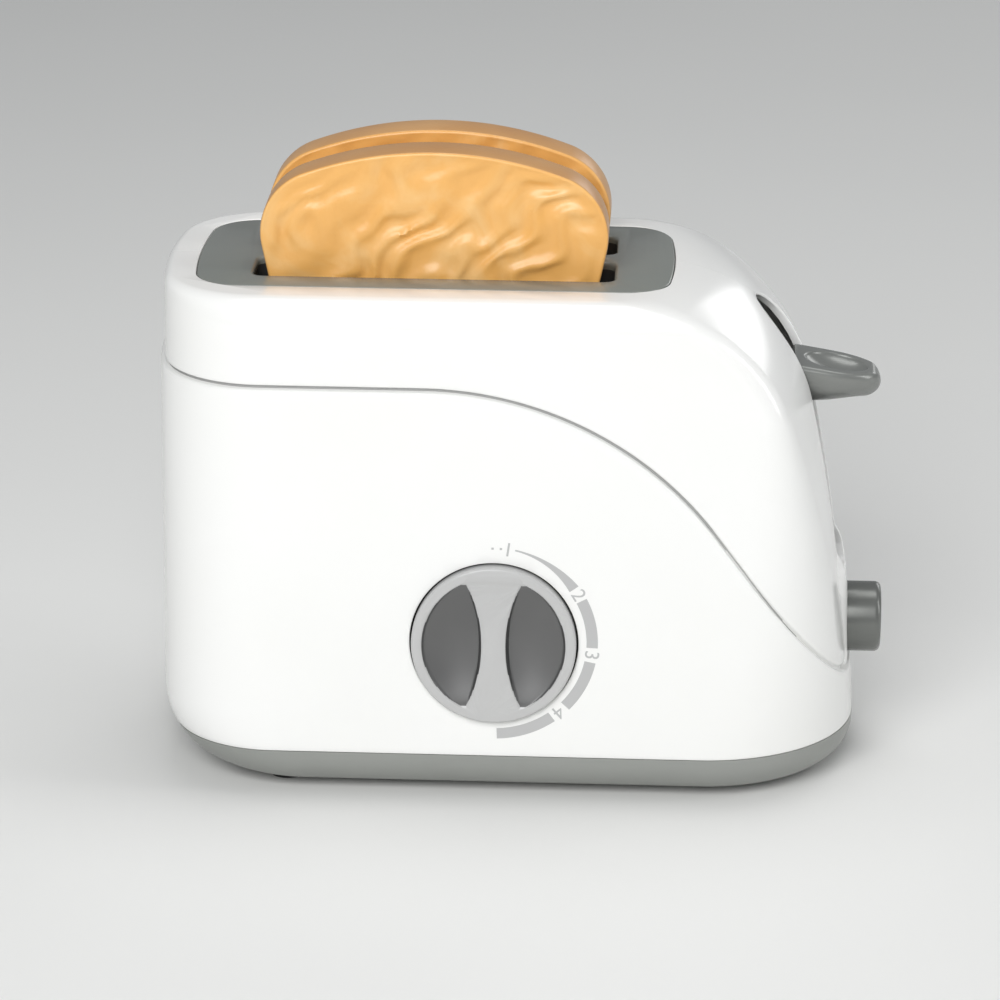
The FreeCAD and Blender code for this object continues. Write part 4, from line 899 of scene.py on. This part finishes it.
def makeLever():
    v = lever
    stations = [v["neckX"], 70.0, 74.0] + [v["fromX"] + 0.25 * i for i in range(11)] + [80.0, 82.0, 84.0]
    toTip = v["tipX"] - v["bluntTip"] - v["taperX"]
    stations += [v["taperX"] + toTip * sin(pi / 2 * i / 40) for i in range(41)]
    points, faces = ringSkin([leverRing(x) for x in stations])
    knob = makePiece("leverKnob", points, faces, leverLook, "carriage")
    profile = []  # the thumb dish: share of its size, height over the rim
    for i in range(17):
        share = 0.02 + 0.98 * sin(pi / 2 * i / 16)
        fall = max(1 - share ** 2, 0.0) ** 0.8
        profile.append((share, -v["dishLip"] - (v["dishDepth"] - v["dishLip"]) * fall))
    profile += [(1.02, -0.12), (1.05, -0.02), (1.09, 0.04), (1.1, 4.0)]
    dish = []
    for share, rise in profile:
        ring = []
        for i in range(72):
            turn = 2 * pi * i / 72
            x = v["dishX"] + v["dishLong"] * share * cos(turn)
            ring.append((x, v["dishWide"] * share * sin(turn), leverRim(x) + rise))
        dish.append(ring)
    applyTool(knob, ringTool(dish))
    smoothShade(knob)
    return knob


leverKnob = makeLever()
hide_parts("lever_knob")


def makeButton():
    # a cap that is hollow behind for its coil, with a flange that keeps it in and a stem
    b = button
    bore, floorX, thin = b["radius"] - b["wall"], b["endX"] - b["wall"], b["crown"][-1][1]
    turns = [pi / 2 * i / 7 for i in range(8)]
    profile = [(b["stemX"], thin), (b["stemX"], b["stem"]), (floorX, b["stem"]), (floorX, bore),
               (b["innerX"], bore), (b["innerX"], b["flange"]), (b["flangeX"], b["flange"]),
               (b["flangeX"], b["radius"])]
    profile += [(b["endX"] - b["chamfer"] + b["chamfer"] * sin(t),
                 b["radius"] - b["chamfer"] + b["chamfer"] * cos(t)) for t in turns]
    profile += [(b["endX"] - below, radius) for below, radius in b["crown"]]
    points, faces = ringSkin(turned(profile, (0, 0, b["z"]), (1, 0, 0), 96))
    return makePiece("ejectButton", points, faces, buttonLook, "button", 35)


ejectButton = makeButton()
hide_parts("eject_button")
print("lever and button made")


def dialDepth(x, z):
    d = dial
    near = max(1 - ((abs(x) - d["bowlX"]) / d["bowlWide"]) ** 2 - (z / d["bowlTall"]) ** 2, 0)
    least = d["lipDepth"] + d["leastDepth"]
    return least + (d["bowlDepth"] - d["lipDepth"] - d["leastDepth"]) * near ** d["bowlPower"]


def recessRows(side, lift):
    # a grid over one recess: rows run from tip to tip, columns from bar to rim; its mouth is chamfered
    d = dial
    inner = d["radius"] - d["rim"]
    barCentre = d["halfWaist"] + d["barCurve"]
    tipX = (inner ** 2 - d["barCurve"] ** 2 + barCentre ** 2) / (2 * barCentre)
    endZ = sqrt(inner ** 2 - tipX ** 2) - d["bluntTip"]
    grid = []
    for r in range(61):
        z = -endZ * cos(pi * r / 60)
        fromX = barCentre - sqrt(d["barCurve"] ** 2 - z * z) - d["over"]
        toX = sqrt(max(inner ** 2 - z * z, 0)) + d["over"]
        line = []
        for c in range(41):
            x = fromX + (toX - fromX) * (1 - cos(pi * c / 40)) / 2
            y = frontY - d["face"] + lift
            if lift == 0:
                near = min(x - fromX, toX - x, endZ - abs(z)) - d["over"]
                wall = 1 - (1 - min(max((near - d["lip"]) / d["wallWide"], 0.0), 1.0)) ** d["wallPower"]
                y += d["lipDepth"] * min(max(near / d["lip"], 0.0), 1.0) + min(near, 0.0)
                y += (dialDepth(x, z) - d["lipDepth"]) * wall
            line.append((d["x"] + side * x, y, d["z"] + z))
        grid.append(line)
    return grid


def recessTool(side):
    # the recess below, a flat lid above the dial's face, and a wall between their edges; faces below the lip
    # take a darker grey, painted shade in the scoops
    low, high = recessRows(side, 0), recessRows(side, -2.0)
    rows, columns = len(low), len(low[0])
    offset = rows * columns
    points = [p for line in low + high for p in line]
    faces = []
    for base in (0, offset):
        for r in range(rows - 1):
            for c in range(columns - 1):
                i = base + r * columns + c
                faces.append((i, i + 1, i + 1 + columns, i + columns))
    edge = list(range(columns)) + [r * columns + columns - 1 for r in range(1, rows)]
    edge += [(rows - 1) * columns + c for c in reversed(range(columns - 1))]
    edge += [r * columns for r in reversed(range(1, rows - 1))]
    for a, b in zip(edge, edge[1:] + edge[:1]):
        faces.append((a, b, b + offset, a + offset))
    tool = makePiece("tool", points, faces, None, None)
    tool.data.materials.append(dialLook)
    tool.data.materials.append(recessShadeLook)
    lipY = (frontY - dial["face"] + dial["lipDepth"]) * mm
    for face in tool.data.polygons:
        face.material_index = 1 if face.center.y > lipY + 0.02 * mm else 0
    return tool


def makeDial():
    d = dial
    turns = [pi / 2 * i / 6 for i in range(7)]
    profile = [(frontY + d["seat"] - d["back"], d["radius"])]
    profile += [(frontY - d["face"] + d["edge"] * (1 - sin(t)),
                 d["radius"] - d["edge"] * (1 - cos(t))) for t in turns]
    knob = ringTool(turned(profile, (d["x"], 0, d["z"]), (0, 1, 0), 160))
    knob.name = "dialKnob"
    knob.data.materials.append(dialLook)
    for side in (-1, 1):
        applyTool(knob, recessTool(side))
    smoothShade(knob, 40)
    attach(knob, "dial")
    return knob


dialKnob = makeDial()
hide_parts("dial_knob")
print("dial cut:", len(dialKnob.data.polygons), "faces")


# the printed scale round the dial

scale = {"inner": 25.5, "outer": 28.6, "rise": 0.4, "proud": 0.04, "digit": 5.67, "digitRadius": 27.0,
         "bands": ((12.0, 54.0), (62.5, 92.5), (101.5, 133.0), (143.5, 178.0)),
         "wedgeRadius": 27.4, "wedgeDrop": 0.35, "wedgeThin": 0.22, "wedgeGrow": 1.28,
         "digits": (("1", 8.0), ("2", 58.5), ("3", 97.0), ("4", 138.6)),
         "dots": (-1.0, 3.8), "dotHalf": 0.7, "dotFrom": 26.9, "dotTo": 27.5}


def scalePoint(angle, radius):
    turn = radians(angle)
    return (dial["x"] + radius * sin(turn), frontY - scale["proud"],
            dial["z"] + scale["rise"] + radius * cos(turn))


def makeScale():
    # four bands and two dots; the first band grows from a hairline
    s = scale
    patches = []
    for number, (start, end) in enumerate(s["bands"]):
        patch = []
        for i in range(25):
            share = i / 24
            inner, outer = s["inner"], s["outer"]
            if number == 0:
                middle = s["wedgeRadius"] - s["wedgeDrop"] * share
                half = s["wedgeThin"] + s["wedgeGrow"] * share ** 1.6
                inner, outer = middle - half, middle + half
            patch.append((start + (end - start) * share, inner, outer))
        patches.append(patch)
    for angle in s["dots"]:
        patches.append([(angle + side * s["dotHalf"], s["dotFrom"], s["dotTo"]) for side in (-1, 1)])
    points, faces = [], []
    for patch in patches:
        first = len(points)
        for angle, inner, outer in patch:
            points += [scalePoint(angle, inner), scalePoint(angle, outer)]
        faces += [(a, a + 1, a + 3, a + 2) for a in range(first, len(points) - 2, 2)]
    return makePiece("dialScaleBands", points, faces, inkLook, "housing")


def makeDigit(digit, angle):
    # plain type, laid on the front and turned with its place on the scale
    curve = bpy.data.curves.new("digit" + digit, "FONT")
    curve.body = digit
    curve.size = scale["digit"] * mm
    curve.align_x = "CENTER"
    curve.align_y = "CENTER"
    maker = newObject("digitMaker" + digit, curve)
    bpy.context.view_layer.update()
    mesh = bpy.data.meshes.new_from_object(maker.evaluated_get(bpy.context.evaluated_depsgraph_get()))
    bpy.data.objects.remove(maker)
    centre = Vector([c * mm for c in scalePoint(angle, scale["digitRadius"])])
    upright = Matrix.Rotation(radians(90), 4, "X")
    mesh.transform(Matrix.Translation(centre) @ Matrix.Rotation(radians(angle), 4, "Y") @ upright)
    piece = newObject("dialDigit" + digit, mesh)
    piece.data.materials.clear()
    piece.data.materials.append(inkLook)
    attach(piece, "housing")


makeScale()
for digit, angle in scale["digits"]:
    makeDigit(digit, angle)
print("scale printed")


# the base tray: a shallow pan that carries on the body's outline under the seam

tray = {
    "floorZ": 2.0, "insideZ": 4.4, "seatZ": 12.95, "wall": 2.2, "sunk": 0.7,
    "feet": ((-62, 34), (-62, -34), (70, 27), (70, -27)), "footRadius": 5.1, "footTop": 3.2,
    "screws": ((-74, 34), (-74, -34), (56, 36), (56, -36)), "post": 4.4, "hole": 1.6, "pocket": 3.1,
    "pocketTop": 7.0,
    "doorX": -22.0, "doorHalf": (38.3, 19.3), "doorCorner": 3.3, "doorTop": 3.2, "openHalf": (29.0, 16.0),
    "openCorner": 3.0, "openTop": 6,
    "doorScrewX": 12.2, "doorPocket": 4.0, "doorPocketTop": 5.1, "doorBoss": 5.5, "doorBossTop": 12.0,
    "doorBore": 1.32, "doorBoreTop": 11.5,
    "boxX": (-50.95, 6.95), "boxY": (-15.6, 15.6), "boxTop": 19.9, "boxWall": 1.6,  # round the cells
    "rodX": 58.0, "rodY": 9.5, "rodBoss": 3.5, "rodTop": 22.0, "rod": 1.5, "rodLow": 8.0,
    "spigot": 3.2, "spigotTop": 32.0,  # inside the lift spring
    "switchX": (36.0, 46.0), "switchY": (-3.0, 3.0), "switchTop": 21.5,
    "bracketX": (69.5, 75.5), "bracketY": (5.6, 8.2), "bracketTop": 26.0,
    "pinX": 72.5, "pinZ": 22.0, "pin": 1.2,
}


def traySection(z, grow):
    # the whole outline at one height: the front half and its mirror image
    front = [(*skinPoint(z, column, grow), z) for column in columnPlan()]
    return front + [(x, -y, z) for x, y, z in reversed(front[1:-1])]


def postTool(x, y, radius, lowZ, highZ):
    return ringTool(turned([(lowZ, radius), (highZ, radius)], (x, y, 0), (0, 0, 1), 48))


def makeTray():
    t = tray
    step = body["apronStep"]
    rise, drop = t["seatZ"] - t["floorZ"], t["seatZ"] - t["insideZ"]
    outer = [traySection(t["floorZ"] + rise * (1 - cos(pi / 2 * i / 12)), step) for i in range(13)]
    inner = [traySection(t["insideZ"] + drop * i / 8, step - t["wall"]) for i in range(9)]
    points, faces = ringSkin(outer + list(reversed(inner)))
    pan = makePiece("baseTray", points, faces, baseLook, "housing")
    foot, wall = t["insideZ"] - t["sunk"], t["boxWall"]

    def add(tool):
        applyTool(pan, tool, "UNION")

    def cut(tool):
        applyTool(pan, tool)

    (left, right), (front, back) = t["boxX"], t["boxY"]
    add(blockTool((left - wall, right + wall), (front - wall, back + wall), (foot, t["boxTop"] + wall)))
    add(blockTool(t["switchX"], t["switchY"], (foot, t["switchTop"])))
    add(postTool(t["rodX"], 0, t["spigot"], foot, t["spigotTop"]))
    add(postTool(t["doorScrewX"], 0, t["doorBoss"], foot, t["doorBossTop"]))
    cut(blockTool(t["boxX"], t["boxY"], (foot - 0.3, t["boxTop"])))
    cut(postTool(t["doorScrewX"], 0, t["doorBore"], 0, t["doorBoreTop"]))
    for side in (-1, 1):
        add(postTool(t["rodX"], side * t["rodY"], t["rodBoss"], foot, t["rodTop"]))
        cut(postTool(t["rodX"], side * t["rodY"], t["rod"], t["rodLow"], t["rodTop"] + 2))
        add(blockTool(t["bracketX"], sorted(side * y for y in t["bracketY"]), (foot, t["bracketTop"])))
    cut(ringTool(turned([(-10, t["pin"]), (10, t["pin"])], (t["pinX"], 0, t["pinZ"]), (0, 1, 0), 32)))
    for x, y in t["screws"]:
        add(postTool(x, y, t["post"], foot, t["seatZ"]))
        cut(postTool(x, y, t["pocket"], -2, t["pocketTop"]))
        cut(postTool(x, y, t["hole"], 1, t["seatZ"] + 2))
    for x, y in t["feet"]:
        cut(postTool(x, y, t["footRadius"], -2, t["footTop"]))
    for half, corner, heights in ((t["doorHalf"], t["doorCorner"], (-2, t["doorTop"])),
                                  (t["openHalf"], t["openCorner"], (-1, t["openTop"]))):
        cut(uprightTool(roundedBox((t["doorX"], 0), half, corner, 6), heights))
    cut(postTool(t["doorScrewX"], 0, t["doorPocket"], -2, t["doorPocketTop"]))
    smoothShade(pan)
    return pan


baseTray = makeTray()
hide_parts("base_tray")
print("base tray moulded:", len(baseTray.data.polygons), "faces")


# the two coils that are pressed, each remade from its part with its skin joined up

springs = {
    "liftCoil": {"part": "lift_spring", "joint": "lever_slide", "along": 2, "travel": 46.0},
    "buttonCoil": {"part": "button_spring", "joint": "eject_press", "along": 0, "travel": 3.0},
}


def makeSpring(name):
    s = springs[name]
    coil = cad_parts[s["part"]]
    spots = {}  # each place once, so that the coil's skin is joined up
    places = [spots.setdefault(tuple(round(c / mm, 4) for c in coil.matrix_world @ v.co), len(spots))
              for v in coil.data.vertices]
    faces = [tuple(places[i] for i in face.vertices) for face in coil.data.polygons]
    faces = [face for face in faces if len(set(face)) == len(face)]
    spring = makePiece(name, list(spots), faces, springLook, "housing")
    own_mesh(spring)
    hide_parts(s["part"])


for name in springs:
    makeSpring(name)
print("springs wound:", len(springs))


# finishes for the parts that keep their own shape

finishes = [
    (baseLook, ["battery_door"]),
    (rubberLook, ["rubber_feet"]),
    (cellLook, ["batteries"]),
    (steelLook, ["shell_screws", "base_screws", "battery_door_screw", "timer_screws", "guide_rods",
                 "dial_arbor", "latch_pin", "bell_hammer", "hammer_pin"]),
    (springLook, ["battery_contacts", "mainspring", "latch_spring", "hammer_spring"]),
    (cradleLook, ["carriage", "bread_cradle", "latch_hook", "lamp_switch"]),
    (gearLook, ["main_wheel", "second_wheel", "governor_fan"]),
    (brassLook, ["timer_front_plate", "timer_rear_plate", "timer_pillars", "bell_post"]),
    (bellLook, ["bell_gong"]),
    (boardLook, ["lamp_board"]),
    (lampLook, ["glow_lamp"]),
]
for look, parts in finishes:
    for part in parts:
        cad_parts[part].data.materials.clear()
        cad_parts[part].data.materials.append(look)
print("finishes given to", sum(len(parts) for look, parts in finishes), "carried-over parts")


# camera, light and floor

view = {"place": (50.0, -1172.56, 477.72), "azimuth": 2.65, "elevation": 19.13, "roll": 0.35, "lens": 157.6}
softboxes = {
    "keySoftbox": {"place": (-0.3, -1.35, 0.95), "aim": (0, 0, 0.08), "size": (1.0, 0.9), "power": 20.0},
    "topSoftbox": {"place": (0.1, 0.2, 1.1), "aim": (0, 0, 0.1), "size": (0.8, 0.4), "power": 2.6},
    "sideSoftbox": {"place": (1.1, -0.1, 0.55), "aim": (0.05, 0, 0.08), "size": (0.3, 0.8), "power": 2.8},
    "backSoftbox": {"place": (0.95, 1.6, 0.65), "aim": (0, 0, 0.1), "size": (0.9, 0.5), "power": 3.0},
}


def addCamera():
    v = view
    azimuth, elevation, roll = (radians(v[k]) for k in ("azimuth", "elevation", "roll"))
    back = Vector((sin(azimuth) * cos(elevation), -cos(azimuth) * cos(elevation),
                   sin(elevation)))
    right = (-back).cross(Vector((0, 0, 1))).normalized()
    up = right.cross(-back)
    turnedRight = right * cos(roll) + up * sin(roll)
    turnedUp = up * cos(roll) - right * sin(roll)
    data = bpy.data.cameras.new("camera")
    data.sensor_width = 36.0
    data.lens = v["lens"]
    data.clip_start = 0.01
    camera = newObject("camera", data)
    turn = Matrix((turnedRight, turnedUp, back)).transposed()
    camera.matrix_world = Matrix.Translation(Vector(v["place"]) * mm) @ turn.to_4x4()
    bpy.context.scene.camera = camera


def addSoftbox(name):
    box = softboxes[name]
    data = bpy.data.lights.new(name, "AREA")
    data.shape = "RECTANGLE"
    data.size, data.size_y = box["size"]
    data.energy = box["power"]
    lamp = newObject(name, data)
    lamp.location = box["place"]
    lamp.rotation_euler = (Vector(box["aim"]) - Vector(box["place"])).to_track_quat("-Z", "Y").to_euler()


def addFloor():
    look = newMaterial("mattPaleFloor", {"Roughness": 0.9})
    mottle(look, 1000 / 3, 2.0, ("#e3e3e1", "#e9e9e7"))
    half = 3.0
    corners = [(-half, -half, 0), (half, -half, 0), (half, half, 0), (-half, half, 0)]
    mesh = bpy.data.meshes.new("floor")
    mesh.from_pydata(corners, [], [(0, 1, 2, 3)])
    mesh.materials.append(look[0])
    floor = newObject("floor", mesh)


def addSky():
    world = bpy.data.worlds.new("paleRoom")
    world.use_nodes = True
    tree = world.node_tree
    tree.nodes.clear()
    sky = addNode(tree, "Background", {"Color": toLinear("#e6e9ec"), "Strength": 0.34})
    addNode(tree, "OutputWorld", links={"Surface": sky.outputs["Background"]})
    bpy.context.scene.world = world


addCamera()
addFloor()
addSky()
for name in softboxes:
    addSoftbox(name)
bpy.context.scene.view_settings.view_transform = "Standard"
print("stage lit")
